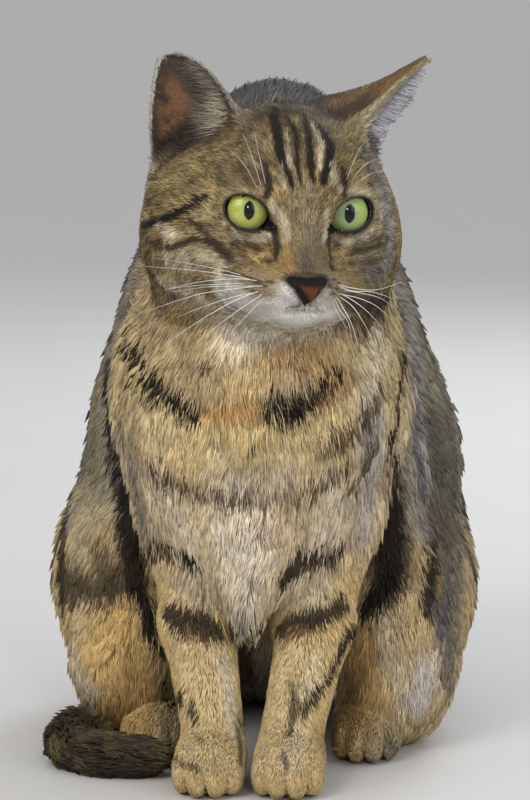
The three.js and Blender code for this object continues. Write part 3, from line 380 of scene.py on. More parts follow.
MARKS = [
    ("olive flank R", "olive", 0.90, 6.0, [(-83.1, 64.0, 151.3, 3.8), (-81.7, 52.0, 125.1, 4.7), (-82.8, 37.9, 99.5, 5.1), (-88.9, 34.3, 81.5, 4.2)]),
    # pale ash along the outline of the right flank: painted rim light from behind
    ("painted rim light R", "ash", 0.60, 6.0, [(-92.1, 79.3, 115.8, 2.5), (-93.5, 47.9, 92.9, 3.4)]),
    ("lilac flank L", "ash", 0.60, 8.9, [(65.1, 54.4, 200.2, 3.4), (69.6, 33.8, 157.2, 5.5), (74.3, 37.8, 120.2, 5.5), (79.0, 38.2, 92.6, 4.2)]),
    ("outer flank L", "charcoal", 0.75, 8.9, [(81.4, 54.9, 145.2, 2.7), (86.7, 61.2, 107.1, 4.8), (89.1, 41.6, 73.6, 5.3), (86.9, 20.5, 50.3, 5.3)]),
    ("flank L dark", "soot", 0.60, 7.4, [(74.8, 42.5, 146.9, 6.4), (79.6, 45.8, 114.3, 8.0), (82.6, 39.6, 87.8, 7.4), (80.6, 15.8, 65.0, 6.4)]),
    ("lilac stripe L", "ash", 0.75, 3.7, [(66.0, 42.0, 190.2, 2.1), (70.8, 37.8, 159.0, 2.5), (72.9, 36.0, 127.3, 2.5), (71.0, 31.9, 95.9, 2.5)]),
    ("shoulder brown", "taupe", 0.80, 7.4, [(-48.5, -38.2, 148.7, 5.1), (-55.8, -15.5, 118.5, 5.1), (-46.1, -23.8, 102.4, 4.2)]),
    ("shoulder L", "ash", 0.85, 8.9, [(51.0, -36.6, 158.3, 5.5), (52.1, -27.2, 130.8, 5.1), (47.6, -20.3, 103.1, 4.2)]),
    ("haunch R gold", "gold", 1.00, 7.4, [(-68.3, 2.6, 58.4, 11.0), (-65.9, -2.9, 41.5, 17.0), (-63.2, 2.9, 19.5, 15.3), (-50.9, -42.3, 17.6, 8.5)]),
    ("haunch R edge", "buff", 0.85, 7.4, [(-88.0, 19.5, 47.5, 3.8), (-82.7, 13.1, 25.9, 5.1), (-62.1, -39.8, 18.9, 5.1), (-48.4, -45.5, 14.0, 3.4)]),
    ("haunch L gold", "gold", 1.00, 6.7, [(49.8, 3.2, 53.5, 6.0), (44.5, 4.2, 35.0, 10.2), (40.5, -3.9, 18.6, 11.0), (38.7, -9.7, 4.2, 6.8)]),
    ("haunch L deep", "rust", 0.70, 7.4, [(49.9, 2.2, 49.2, 3.4), (39.9, 9.0, 24.6, 4.7), (31.0, -52.7, 19.7, 3.0)]),
    ("haunch L cream", "buff", 0.80, 6.0, [(53.3, 3.7, 60.3, 2.5), (58.1, -1.2, 43.3, 3.4), (63.9, -1.1, 25.2, 3.8)]),
    ("haunch L tan", "fawn", 0.80, 3.7, [(61.3, 3.5, 62.7, 2.5), (63.3, -0.3, 50.0, 3.0)]),
    ("haunch L white", "pearl", 0.70, 7.4, [(74.8, 3.0, 40.4, 4.2), (71.4, 3.1, 22.1, 5.5)]),
    ("haunch L grey", "slate", 0.75, 6.7, [(79.7, 14.8, 65.2, 4.2), (83.5, 12.8, 47.4, 5.1), (85.3, 18.9, 27.7, 4.2)]),
    ("crown", "soot", 0.80, 4.5, [(1.8, -60.9, 286.0, 3.4), (7.9, -54.8, 289.9, 3.8), (16.9, -52.3, 290.6, 4.7), (28.2, -46.5, 289.6, 4.7), (36.4, -41.7, 287.7, 3.4)]),
    ("crown rust", "rust", 0.60, 3.7, [(25.7, -39.6, 291.8, 2.1)]),
    ("nape", "slate", 0.90, 5.2, [(-4.8, 7.7, 296.7, 5.1), (9.0, 9.8, 299.2, 5.5), (21.9, 14.2, 297.4, 4.7)]),
    ("crown fill", "umber", 0.75, 3.7, [(8.0, -66.3, 283.8, 2.5), (15.6, -63.6, 285.4, 3.4), (23.8, -61.2, 285.3, 3.8), (32.1, -55.5, 285.0, 3.4)]),
    ("forehead", "dark honey", 0.75, 6.0, [(-2.7, -67.0, 281.3, 6.0), (18.3, -71.2, 279.2, 11.0), (38.3, -61.6, 278.7, 6.8)]),
    ("temple", "honey", 0.60, 7.4, [(-31.0, -54.9, 269.8, 6.0), (-18.9, -71.1, 264.6, 9.3), (-31.6, -69.0, 256.2, 5.1)]),
    ("temple in", "dark honey", 0.90, 6.0, [(-6.4, -72.3, 275.0, 6.8), (-8.0, -77.6, 266.3, 5.1)]),
    ("temple L", "grey brown", 0.85, 6.0, [(51.2, -54.0, 270.1, 6.0), (55.5, -54.0, 259.7, 5.1)]),
    ("bridge", "tan", 1.00, 4.5, [(25.4, -79.7, 256.8, 5.1), (25.6, -82.1, 245.2, 5.1), (25.5, -86.2, 238.1, 4.7)]),
    ("bridge low", "charcoal", 0.70, 4.5, [(23.5, -92.3, 228.5, 2.1), (28.3, -91.2, 229.2, 2.5), (26.9, -88.4, 234.7, 2.5)]),
    ("bridge side R", "ginger", 0.60, 1.7, [(17.2, -84.3, 240.0, 1.3), (18.2, -87.2, 234.5, 1.5), (19.7, -91.3, 228.4, 1.9)]),
    ("bridge side L", "taupe", 0.50, 3.7, [(29.7, -81.3, 242.2, 2.1), (31.0, -83.3, 236.7, 2.5), (32.5, -86.7, 230.5, 2.5)]),
    ("cheek R", "tan", 0.90, 7.4, [(-18.2, -78.7, 248.7, 5.1), (-11.8, -81.7, 238.7, 5.1), (-1.6, -80.7, 233.8, 4.2)]),
    ("cheek gold", "gold", 0.75, 6.7, [(4.5, -79.6, 233.7, 3.4), (10.2, -83.6, 230.0, 3.8), (14.0, -91.0, 225.0, 3.4), (8.5, -93.6, 222.0, 2.5)]),
    ("cheek pink", "cream", 0.75, 6.0, [(-33.6, -71.2, 231.0, 2.5), (-24.8, -75.9, 229.0, 3.8), (-11.9, -80.2, 229.5, 3.4)]),
    ("cheek white R", "ivory", 0.95, 5.2, [(-9.8, -81.6, 219.8, 3.8), (-1.7, -89.1, 214.9, 4.2), (7.5, -90.7, 211.9, 3.8)]),
    ("jaw white R", "ivory", 0.90, 5.2, [(-9.0, -80.8, 213.9, 3.8), (-1.9, -86.9, 212.2, 4.2), (4.7, -87.6, 209.8, 4.7), (11.2, -86.0, 207.3, 4.7), (17.4, -81.7, 203.5, 3.8)]),
    ("lower cheek R", "cream", 0.85, 6.7, [(-34.7, -61.5, 216.7, 4.7), (-26.9, -64.4, 213.3, 5.1), (-18.4, -65.3, 209.7, 5.1), (-4.7, -68.6, 204.3, 4.7)]),
    ("side ruff R", "tan", 0.85, 7.4, [(-60.7, 48.1, 218.1, 3.4), (-53.6, -10.8, 206.1, 4.2), (-47.9, -40.9, 192.2, 6.0)]),
    ("cheek L", "taupe", 0.70, 6.0, [(47.8, -67.1, 237.9, 4.2), (55.0, -60.8, 240.7, 3.4)]),
    ("cheek L lilac", "grey brown", 0.80, 7.4, [(49.4, -64.8, 226.1, 5.1), (56.4, -51.2, 221.9, 4.2)]),
    # pale ash along the outline of the head's left side: painted rim light from behind
    ("painted rim light L", "ash", 0.85, 4.5, [(57.7, -46.8, 257.2, 3.8), (59.2, -52.7, 243.0, 4.2), (58.5, -51.4, 227.4, 4.2)]),
    ("muzzle R", "white", 1.00, 3.7, [(17.5, -93.8, 220.0, 3.4), (20.7, -93.0, 216.3, 3.0), (14.1, -91.9, 213.3, 3.8), (6.6, -90.6, 211.8, 3.4)]),
    ("pad gold R", "fawn", 0.70, 3.7, [(2.3, -87.9, 225.9, 2.5), (8.4, -92.4, 223.5, 3.0), (11.0, -94.4, 220.5, 2.5), (5.7, -93.9, 220.0, 2.5)]),
    ("muzzle L", "ivory", 0.95, 3.7, [(30.7, -90.1, 215.3, 2.5), (35.1, -88.2, 216.7, 3.0), (33.3, -86.4, 212.4, 2.1)]),
    ("muzzle L pink", "fawn", 0.85, 3.7, [(36.5, -84.7, 224.6, 2.5), (39.4, -86.0, 220.6, 3.4), (40.3, -86.5, 216.6, 2.5)]),
    ("chin", "white", 1.00, 5.2, [(13.8, -88.6, 209.2, 4.2), (24.7, -86.5, 207.4, 5.5), (34.8, -83.0, 208.8, 3.8)]),
    ("mouth line", "charcoal", 0.80, 0.6, [(18.4, -90.1, 211.7, 0.3), (21.7, -89.7, 212.0, 0.5), (24.9, -89.0, 212.2, 0.6), (27.7, -88.1, 211.9, 0.6), (30.5, -86.9, 211.3, 0.4)]),
    ("cheek white R", "ivory", 0.85, 5.2, [(-8.8, -82.7, 219.1, 3.4), (-0.9, -89.2, 214.1, 3.8), (8.2, -89.7, 210.9, 3.8)]),
    ("jaw L", "soot", 0.95, 3.7, [(43.8, -83.6, 214.7, 2.5), (48.2, -72.8, 211.1, 5.1), (53.4, -39.0, 206.6, 5.5), (58.6, -18.6, 207.0, 3.4)]),
    ("jaw L low", "umber", 0.85, 5.2, [(41.5, -53.1, 200.4, 4.2), (49.4, -41.6, 197.5, 5.1), (56.4, -27.8, 198.5, 3.8)]),
    ("throat pale", "cream", 0.95, 6.7, [(-13.8, -61.7, 199.3, 3.8), (-8.2, -62.8, 191.0, 5.5), (-3.1, -63.7, 186.1, 3.8)]),
    ("neck side R", "tan", 0.85, 6.7, [(-79.3, 60.8, 164.9, 4.2), (-82.6, 59.6, 147.3, 3.8)]),
    ("throat white", "ivory", 0.85, 7.4, [(6.3, -65.8, 196.6, 6.0), (-3.0, -64.6, 198.0, 6.0), (19.9, -64.0, 194.8, 4.2)]),
    ("throat rust", "amber", 0.90, 6.0, [(11.5, -63.2, 185.4, 5.1), (21.8, -60.8, 184.3, 6.8), (34.1, -55.4, 185.4, 5.1), (21.9, -61.6, 191.2, 3.8)]),
    ("throat R", "tan", 0.90, 7.4, [(-35.8, -52.8, 189.5, 6.0), (-26.7, -58.9, 179.8, 6.0), (-22.4, -60.0, 171.5, 5.1)]),
    ("under jaw", "cream", 0.85, 3.7, [(-8.8, -64.9, 203.0, 3.0), (2.2, -66.9, 199.6, 3.0), (13.9, -66.8, 197.2, 3.0), (25.3, -63.0, 196.4, 2.5), (34.3, -59.2, 199.0, 2.5)]),
    ("under spot", "straw", 0.85, 6.0, [(-5.2, -63.8, 174.3, 6.0), (5.3, -63.9, 175.3, 5.1), (-1.1, -63.2, 167.9, 4.2)]),
    ("throat L", "fawn", 0.85, 6.7, [(21.8, -60.6, 174.2, 5.1), (13.6, -62.5, 172.2, 4.2)]),
    ("neck L pink", "buff", 0.85, 6.7, [(51.1, -40.9, 182.5, 4.2), (56.2, -30.3, 192.0, 3.8), (48.3, -43.1, 169.9, 3.4)]),
    ("bib", "bright straw", 1.00, 8.9, [(-43.4, -44.1, 154.8, 5.1), (-27.6, -51.8, 147.6, 8.5), (-1.6, -57.4, 144.5, 11.5), (23.5, -52.8, 147.5, 8.5), (37.2, -48.8, 157.8, 5.1)]),
    ("bib side R", "straw", 0.80, 6.0, [(-48.5, -38.2, 148.7, 3.8), (-43.1, -40.0, 136.9, 4.7), (-30.3, -46.7, 132.1, 5.1)]),
    ("bib side L", "straw", 0.70, 6.0, [(37.9, -45.4, 148.7, 3.8), (31.6, -46.2, 138.8, 4.2), (21.2, -50.0, 133.3, 4.2)]),
    ("bib low", "buff", 0.90, 6.7, [(-14.6, -54.1, 134.4, 6.0), (0.4, -55.9, 131.5, 6.8), (17.1, -52.0, 133.6, 6.0)]),
    ("bib brown", "honey", 0.80, 1.7, [(1.4, -57.4, 144.6, 1.7), (1.3, -56.0, 135.8, 2.1), (-0.0, -56.0, 129.8, 1.7)]),
    ("bib smudge", "honey", 0.60, 3.7, [(-11.6, -55.0, 135.4, 2.5), (9.7, -55.2, 139.2, 2.1)]),
    ("breast R", "buff", 0.90, 8.9, [(-44.1, -38.9, 135.8, 3.4), (-40.1, -36.8, 118.0, 6.8), (-31.1, -40.5, 107.9, 7.6), (-29.9, -32.0, 86.5, 6.0), (-23.2, -34.4, 78.3, 4.2)]),
    ("breast L", "buff", 0.90, 8.9, [(31.5, -44.9, 133.4, 3.4), (35.4, -36.7, 114.7, 6.8), (29.6, -32.9, 96.4, 6.8), (24.4, -32.7, 78.7, 5.1)]),
    ("breast mid", "ivory", 0.50, 8.9, [(-5.9, -56.7, 119.9, 9.3), (-3.2, -53.7, 100.0, 11.0), (-3.3, -48.0, 81.5, 7.6), (-4.0, -44.8, 68.5, 3.8)]),
    ("breast tan", "fawn", 0.60, 4.5, [(-30.7, -43.8, 117.3, 3.4), (-19.1, -52.2, 121.1, 2.5), (15.0, -52.4, 119.4, 3.0)]),
    # grey brown down the gap between the forelegs and on under the belly: painted shade
    ("painted shade between forelegs", "grey brown", 0.95, 4.5, [(-4.0, -45.0, 71.2, 1.7), (-4.4, -40.6, 62.3, 3.0), (-11.6, 42.7, 36.6, 3.0)]),
    ("leg R", "straw", 0.85, 6.0, [(-31.7, -37.2, 56.7, 7.6), (-22.7, -39.3, 57.3, 7.6), (-21.9, -48.1, 37.3, 10.2), (-22.1, -68.3, 20.5, 11.0), (-9.0, -71.8, 15.1, 5.1)]),
    ("leg L", "straw", 0.80, 6.0, [(16.1, -37.5, 57.6, 6.8), (20.7, -40.6, 54.0, 6.0), (12.5, -46.5, 37.6, 8.5), (9.7, -66.5, 20.6, 7.6), (6.8, -71.9, 13.3, 5.1)]),
    ("leg R inner", "buff", 0.90, 3.7, [(-12.1, -37.3, 52.6, 3.0), (-8.5, -43.7, 36.5, 3.0), (-5.6, -56.7, 22.2, 2.1)]),
    ("leg L outer", "cream", 0.60, 4.5, [(28.3, -38.9, 55.9, 2.5), (26.2, -44.9, 41.8, 3.4), (21.9, -58.6, 25.4, 3.4), (19.6, -73.9, 16.3, 3.4)]),
    # umber in the gaps between the forelegs, between the paws and under the belly: painted shade
    ("painted shade between legs", "umber", 0.90, 1.7, [(-11.1, 42.6, 36.7, 4.2), (-12.6, 65.2, 14.7, 3.8), (-4.3, -42.2, 27.4, 2.1), (-2.6, -67.3, 14.1, 1.3)]),
    ("band flank R", "black", 0.95, 3.7, [(-75.1, 54.4, 175.0, 1.6), (-75.9, 48.8, 162.8, 3.2), (-74.6, 41.3, 145.4, 4.2), (-70.1, 34.0, 128.1, 4.8), (-66.0, 29.7, 110.5, 5.3), (-61.4, 21.5, 91.4, 6.4), (-55.6, 9.9, 73.1, 4.8)]),
    ("flank R black out", "soot", 0.95, 3.7, [(-97.1, 66.4, 98.9, 3.7), (-97.4, 48.3, 81.0, 4.8), (-95.7, 41.6, 61.3, 4.8)]),
    ("flank R grey", "charcoal", 0.70, 3.7, [(-60.0, -22.0, 154.9, 2.1), (-56.6, -21.9, 132.9, 3.2), (-51.8, -19.2, 110.3, 3.2), (-49.4, -10.7, 90.9, 2.7)]),
    ("fleck R", "soot", 0.85, 5.2, [(-94.4, 40.2, 73.3, 4.8), (-82.3, 20.0, 70.6, 6.4), (-70.9, 9.4, 69.3, 5.3), (-95.7, 41.6, 61.3, 4.2)]),
    ("fleck R2", "soot", 0.80, 4.5, [(-78.6, 27.3, 88.6, 3.7), (-71.9, 17.4, 80.5, 4.8), (-64.6, 9.5, 73.1, 4.2)]),
    ("flank L black a", "black", 0.95, 1.7, [(63.1, 20.8, 188.1, 1.1), (62.6, -15.1, 177.1, 2.7), (61.1, -18.7, 160.1, 3.2), (59.8, -16.6, 142.3, 4.2)]),
    ("flank L black b", "black", 0.95, 5.2, [(59.7, -11.8, 132.7, 4.2), (60.4, 22.3, 113.5, 7.4), (57.7, 23.3, 95.1, 9.0), (56.4, 13.3, 78.8, 8.5), (49.6, 7.8, 66.1, 5.3)]),
    ("flank L rust", "rust", 0.80, 3.7, [(58.2, -18.6, 137.3, 1.7), (59.2, -9.8, 128.0, 1.7)]),
    ("flank L stripe a", "slate", 0.85, 1.7, [(68.3, 41.6, 181.2, 1.4), (70.0, 35.1, 157.1, 2.8), (68.9, 31.1, 134.9, 2.8), (71.7, 36.0, 111.3, 2.8)]),
    ("flank L stripe b", "black", 0.90, 1.7, [(79.0, 38.2, 92.6, 2.8), (76.3, 22.3, 79.5, 3.5), (74.4, 10.0, 66.1, 2.8)]),
    ("flank L stripe c", "slate", 0.85, 1.7, [(84.5, 38.9, 83.3, 2.1), (84.0, 23.7, 67.9, 2.8), (81.2, 11.4, 54.5, 2.8)]),
    ("necklace R", "black", 0.96, 1.1, [(-60.4, -10.2, 190.6, 1.4), (-54.4, -33.8, 186.1, 2.8), (-49.5, -42.4, 179.5, 3.8), (-43.7, -47.9, 172.6, 4.1), (-36.9, -52.2, 167.3, 4.5), (-30.2, -55.3, 163.5, 4.8), (-24.9, -57.0, 160.8, 3.8)]),
    ("necklace gap", "ginger", 0.95, 1.7, [(-18.7, -59.1, 160.8, 2.5), (-8.4, -61.2, 160.8, 3.8), (3.1, -62.3, 163.6, 3.4)]),
    ("necklace L", "black", 0.98, 1.1, [(10.1, -61.5, 163.6, 4.5), (15.5, -60.0, 161.7, 5.9), (20.5, -59.0, 163.3, 5.5), (26.3, -57.9, 167.5, 4.1), (32.1, -56.1, 172.4, 4.5), (37.4, -53.6, 177.6, 3.8), (40.6, -51.4, 181.6, 2.1)]),
    ("necklace L tail", "rust", 0.85, 1.7, [(29.1, -55.8, 164.2, 2.1), (36.1, -53.1, 169.0, 3.5), (43.1, -49.3, 176.3, 3.5)]),
    ("spot R", "soot", 0.92, 1.3, [(-21.5, -60.8, 180.9, 2.1), (-17.6, -61.9, 180.7, 3.2), (-14.1, -62.6, 182.5, 2.1)]),
    ("spot chin", "dark honey", 0.80, 1.7, [(-30.9, -55.0, 192.0, 2.1), (-34.4, -53.8, 188.8, 1.6)]),
    ("faint 1", "umber", 0.95, 1.7, [(-48.9, -35.0, 138.2, 2.1), (-43.3, -38.9, 133.2, 3.5), (-35.9, -42.9, 129.2, 3.5), (-25.9, -48.3, 126.8, 2.8), (-14.7, -54.0, 125.8, 2.8), (-1.7, -56.5, 123.4, 2.8), (12.9, -53.3, 124.7, 2.8), (25.2, -46.5, 126.3, 2.8), (35.6, -42.0, 131.3, 2.8), (42.7, -38.9, 136.9, 2.8)]),
    ("faint 2", "umber", 0.90, 1.7, [(28.8, -49.4, 144.9, 2.8), (37.0, -45.6, 147.4, 3.5), (45.3, -41.5, 154.6, 3.5), (53.5, -35.9, 166.8, 2.8)]),
    ("faint 3", "umber", 0.90, 1.7, [(41.7, -35.3, 123.3, 2.8), (48.4, -32.1, 131.5, 3.5), (52.6, -30.9, 144.4, 3.5)]),
    ("band R 1", "black", 0.95, 1.1, [(-48.1, -18.1, 96.4, 3.1), (-42.4, -25.4, 96.1, 3.1), (-35.6, -31.4, 96.9, 3.5), (-30.0, -34.8, 95.0, 4.4), (-26.5, -35.8, 90.9, 3.5)]),
    ("band R 1 rust", "rust", 0.90, 1.1, [(-43.9, -24.1, 96.7, 1.1), (-35.7, -30.5, 94.5, 1.7), (-31.1, -32.8, 92.0, 1.7)]),
    ("band L 1", "soot", 0.95, 1.3, [(14.5, -38.7, 84.2, 3.1), (16.8, -40.9, 90.4, 4.8), (21.3, -38.4, 93.9, 5.3), (27.9, -33.0, 93.8, 4.8), (35.0, -29.5, 95.9, 3.9), (39.7, -26.9, 98.5, 2.6)]),
    ("band L 1 rust", "rust", 0.80, 1.1, [(25.4, -34.1, 92.7, 1.4), (32.1, -30.6, 93.4, 1.7)]),
    ("band R 2", "soot", 0.95, 1.7, [(-39.0, -29.1, 71.2, 4.1), (-31.0, -35.2, 68.2, 6.2), (-23.0, -36.8, 66.5, 6.2), (-15.1, -37.0, 64.0, 4.8), (-8.7, -40.4, 64.0, 3.5)]),
    ("band R 2 rust", "rust", 0.75, 1.3, [(-29.0, -37.0, 63.7, 1.7), (-20.7, -37.5, 63.1, 1.7)]),
    ("band L 2", "soot", 0.95, 1.7, [(4.0, -37.9, 64.5, 3.5), (10.6, -32.5, 64.3, 4.8), (18.6, -35.2, 67.7, 5.5), (26.8, -35.4, 70.1, 4.8), (34.0, -32.7, 71.8, 4.1), (39.7, -26.8, 75.1, 3.5)]),
    ("band L 2 rust", "rust", 0.75, 1.3, [(13.8, -34.6, 62.2, 1.7), (24.8, -37.1, 65.1, 1.7)]),
    ("outer R", "black", 0.95, 1.7, [(-57.8, 9.4, 73.2, 3.2), (-52.6, 7.6, 67.7, 4.2), (-48.9, 6.3, 61.2, 3.7), (-49.5, 3.1, 54.6, 2.7), (-45.1, 4.0, 47.1, 2.7), (-42.6, 5.6, 42.2, 1.6)]),
    ("outer L", "black", 0.96, 1.4, [(49.5, 10.0, 70.2, 3.7), (44.2, 9.6, 62.1, 3.7), (41.9, -26.3, 61.7, 3.2), (38.7, -30.0, 54.1, 2.7), (35.9, -34.0, 46.5, 2.4), (32.0, -40.6, 40.9, 2.4), (27.1, -46.2, 36.5, 2.7), (22.6, -49.8, 32.4, 2.1)]),
    ("spot leg R a", "black", 0.95, 1.1, [(-44.1, 6.4, 28.2, 1.6), (-40.5, 6.4, 22.8, 2.9), (-31.1, -42.8, 34.5, 2.1), (-32.2, -40.7, 38.4, 1.6)]),
    ("spot leg R b", "soot", 0.95, 0.9, [(-26.8, -46.7, 35.5, 1.6), (-26.2, -48.5, 31.1, 2.1), (-24.7, -51.1, 27.9, 1.6)]),
    ("spot leg R c", "soot", 0.75, 0.8, [(-20.9, -62.8, 24.3, 1.3), (-19.3, -66.6, 22.7, 1.1)]),
    ("spot leg R d", "soot", 0.80, 0.8, [(-31.0, -64.5, 16.2, 1.3), (-28.8, -69.5, 15.0, 1.1), (-21.7, -75.9, 14.7, 1.6), (-19.2, -76.1, 13.4, 1.1)]),
    ("spot leg L a", "soot", 0.90, 1.1, [(17.2, -46.0, 41.9, 1.3), (19.1, -49.1, 35.7, 2.1), (17.7, -52.4, 29.5, 2.1), (16.8, -58.5, 26.2, 1.3)]),
    ("spot leg L b", "dark honey", 0.70, 1.1, [(23.2, -45.8, 42.0, 1.1), (14.9, -43.7, 44.9, 1.1)]),
    ("dew L", "slate", 0.80, 1.1, [(15.6, -71.0, 18.9, 1.3), (17.1, -74.0, 15.0, 1.3)]),
    ("foot L marks", "charcoal", 0.85, 1.3, [(57.7, -9.5, 10.4, 2.1), (61.9, -3.2, 4.3, 2.1)]),
    ("foot R marks", "soot", 0.85, 1.7, [(-53.5, -46.3, 13.2, 2.7), (-60.4, -47.0, 8.8, 2.7), (-66.8, -45.1, 5.5, 2.7)]),
    ("dark crown", "soot", 0.85, 1.7, [(9.1, -26.0, 293.7, 2.1), (15.1, -44.7, 292.8, 1.7), (20.2, -38.4, 293.0, 1.3)]),
    ("stripe 1", "black", 0.97, 0.7, [(9.3, -45.2, 292.8, 1.4), (11.2, -60.0, 287.6, 2.3), (12.3, -68.5, 282.3, 2.5), (14.0, -74.4, 276.9, 2.5), (15.8, -77.6, 272.2, 1.9), (17.6, -79.5, 267.4, 1.5), (19.8, -80.6, 261.3, 1.1)]),
    ("stripe 2", "black", 0.92, 0.6, [(15.6, -56.5, 289.1, 0.9), (18.5, -63.0, 285.3, 1.2), (20.9, -67.7, 281.5, 1.4), (21.7, -73.7, 275.2, 1.1), (22.4, -77.4, 268.9, 1.0), (23.8, -79.3, 261.7, 0.7)]),
    ("stripe 3", "black", 0.95, 0.7, [(21.9, -52.3, 289.8, 1.0), (24.2, -61.0, 285.3, 1.3), (25.9, -68.0, 279.9, 1.3), (27.0, -72.7, 274.4, 1.3), (27.6, -75.9, 268.8, 1.8), (29.0, -77.5, 263.2, 1.3)]),
    ("stripe 4", "black", 0.97, 0.8, [(28.0, -56.5, 286.3, 1.7), (30.8, -61.2, 282.8, 2.5), (33.9, -64.0, 279.7, 2.8), (35.3, -67.8, 275.8, 2.3), (34.8, -71.9, 271.1, 1.5), (33.3, -74.6, 267.2, 1.9), (32.2, -76.5, 262.4, 1.2)]),
    ("stripe 5", "black", 0.90, 0.7, [(8.2, -78.9, 271.4, 0.9), (10.0, -80.9, 266.6, 1.4), (9.6, -82.1, 261.8, 1.7), (9.3, -82.4, 256.9, 1.2)]),
    ("stripe 6", "black", 0.92, 0.7, [(39.2, -70.2, 269.8, 0.9), (40.5, -71.5, 265.4, 1.7), (41.0, -72.4, 260.5, 1.8), (41.4, -72.5, 256.0, 1.2)]),
    ("stripe 0", "soot", 0.70, 0.8, [(5.5, -76.1, 275.3, 1.0), (7.4, -79.9, 269.4, 1.1), (6.8, -81.9, 263.4, 1.1)]),
    ("pale 1", "buff", 0.85, 0.7, [(15.3, -64.9, 284.6, 0.8), (16.7, -72.4, 278.4, 0.9), (18.7, -76.9, 272.1, 1.0), (21.3, -78.8, 266.5, 0.8)]),
    ("pale 2", "cream", 0.92, 0.6, [(21.8, -44.0, 292.0, 0.7), (25.9, -55.5, 287.5, 0.8), (28.4, -62.6, 282.9, 1.0), (31.3, -68.7, 277.0, 1.1), (31.5, -72.8, 272.0, 0.9), (30.1, -75.8, 267.2, 0.7)]),
    ("pale 3", "buff", 0.80, 0.8, [(15.9, -78.7, 270.2, 0.8), (14.9, -80.8, 265.0, 1.2), (16.6, -81.5, 259.4, 1.1)]),
    ("pale 4", "buff", 0.90, 0.8, [(35.6, -72.2, 269.9, 0.8), (36.6, -74.0, 264.7, 1.2), (39.0, -73.7, 259.8, 1.1)]),
    ("brow dark", "umber", 0.80, 4.5, [(-2.4, -79.8, 266.5, 2.5), (3.5, -81.6, 264.2, 2.5), (-1.5, -81.5, 260.9, 1.7)]),
    ("ear root rust", "rust", 0.90, 5.2, [(36.6, -31.3, 294.8, 3.4), (42.8, -28.4, 297.3, 3.8), (49.1, -26.4, 299.7, 3.8), (54.0, -23.8, 302.2, 2.5)]),
    ("ear root rust dark", "umber", 0.90, 4.5, [(30.4, -26.7, 297.2, 3.8), (38.9, -27.5, 297.2, 2.5)]),
    ("ear root dark", "soot", 0.85, 1.7, [(-38.6, -43.9, 275.0, 1.7), (-33.8, -40.7, 276.1, 2.1), (-28.0, -39.1, 277.3, 1.7), (-18.4, -42.2, 286.7, 1.3)]),
    ("orange corner", "honey", 0.60, 5.2, [(-13.3, -78.4, 255.7, 2.1), (-9.0, -79.4, 259.1, 1.7), (-4.8, -80.7, 260.8, 1.3)]),
    ("cream in R", "cream", 0.90, 1.1, [(12.1, -82.2, 254.1, 1.3), (15.0, -82.2, 250.4, 1.9), (16.2, -82.7, 245.6, 1.8), (17.2, -84.3, 240.0, 1.5)]),
    ("cream in L", "cream", 0.95, 1.0, [(35.1, -76.0, 250.9, 1.0), (33.9, -76.9, 246.8, 1.4), (33.6, -77.7, 242.0, 1.3), (32.9, -80.0, 237.2, 0.8)]),
    ("pale under R", "cream", 0.90, 0.8, [(-8.9, -81.6, 246.1, 0.8), (-4.3, -82.1, 242.1, 1.1), (0.9, -81.1, 239.6, 1.3), (6.7, -80.7, 240.0, 1.3), (10.0, -81.5, 240.5, 0.8)]),
    ("pale under L", "cream", 0.90, 0.8, [(38.2, -72.5, 238.3, 1.0), (43.0, -69.2, 236.8, 1.3), (48.6, -66.6, 238.7, 1.4), (52.2, -63.7, 242.6, 1.1)]),
    ("pale over R", "fawn", 0.75, 1.0, [(-7.3, -80.3, 258.3, 1.0), (-1.4, -81.8, 259.3, 1.1), (5.2, -82.5, 258.5, 0.9)]),
    ("pale over L", "cream", 0.55, 1.7, [(42.2, -71.9, 258.8, 1.3), (47.0, -68.1, 259.0, 1.7), (51.7, -63.2, 255.8, 1.7)]),
    ("pink corner L", "buff", 0.70, 3.7, [(54.9, -59.1, 250.9, 2.1), (56.5, -57.3, 246.7, 1.7)]),
    ("rust corner L", "amber", 0.60, 1.7, [(51.8, -64.2, 241.0, 0.8), (55.8, -59.4, 243.1, 1.0)]),
    ("tear R", "soot", 0.96, 0.8, [(11.7, -82.0, 244.7, 1.0), (12.5, -82.4, 239.8, 1.5), (13.4, -83.1, 235.7, 1.9), (13.1, -83.7, 231.7, 1.3)]),
    ("tear L", "soot", 0.92, 0.7, [(34.7, -76.5, 241.9, 0.8), (34.7, -76.7, 237.0, 1.3), (35.5, -75.0, 231.9, 1.2), (36.6, -79.9, 227.4, 0.9)]),
    ("cheek line 1", "black", 1.00, 0.8, [(-15.9, -76.7, 257.2, 1.4), (-19.7, -75.6, 255.5, 2.1), (-23.5, -75.5, 252.1, 2.1), (-27.8, -74.3, 249.5, 2.0), (-33.5, -71.4, 246.8, 1.9), (-39.5, -66.2, 244.7, 1.8), (-45.7, -56.6, 243.0, 1.5)]),
    ("cheek line 2", "soot", 0.95, 0.8, [(-23.3, -77.4, 246.1, 1.2), (-18.5, -79.7, 243.4, 1.5), (-15.1, -81.0, 239.9, 1.4), (-11.4, -81.7, 236.7, 1.4), (-6.5, -81.3, 233.0, 1.2)]),
    ("cheek line 3", "soot", 0.95, 0.8, [(-45.6, -57.0, 241.4, 1.2), (-41.4, -64.3, 237.0, 1.5), (-36.7, -69.3, 234.6, 1.8), (-31.2, -73.5, 234.2, 1.5), (-25.9, -76.9, 236.6, 1.4), (-20.7, -79.2, 238.5, 1.4), (-15.6, -80.9, 237.4, 1.4), (-11.0, -81.3, 233.8, 1.4), (-5.7, -81.0, 230.5, 1.2)]),
    ("cheek line 4", "umber", 0.85, 1.0, [(0.9, -80.8, 237.5, 1.3), (4.9, -79.6, 235.4, 1.5), (10.2, -83.6, 230.0, 1.4)]),
    ("cheek line 5", "umber", 0.80, 1.0, [(-7.2, -81.9, 244.5, 1.2), (-3.9, -81.9, 238.8, 1.5), (-0.8, -80.6, 232.9, 1.5), (3.5, -82.3, 229.8, 1.3)]),
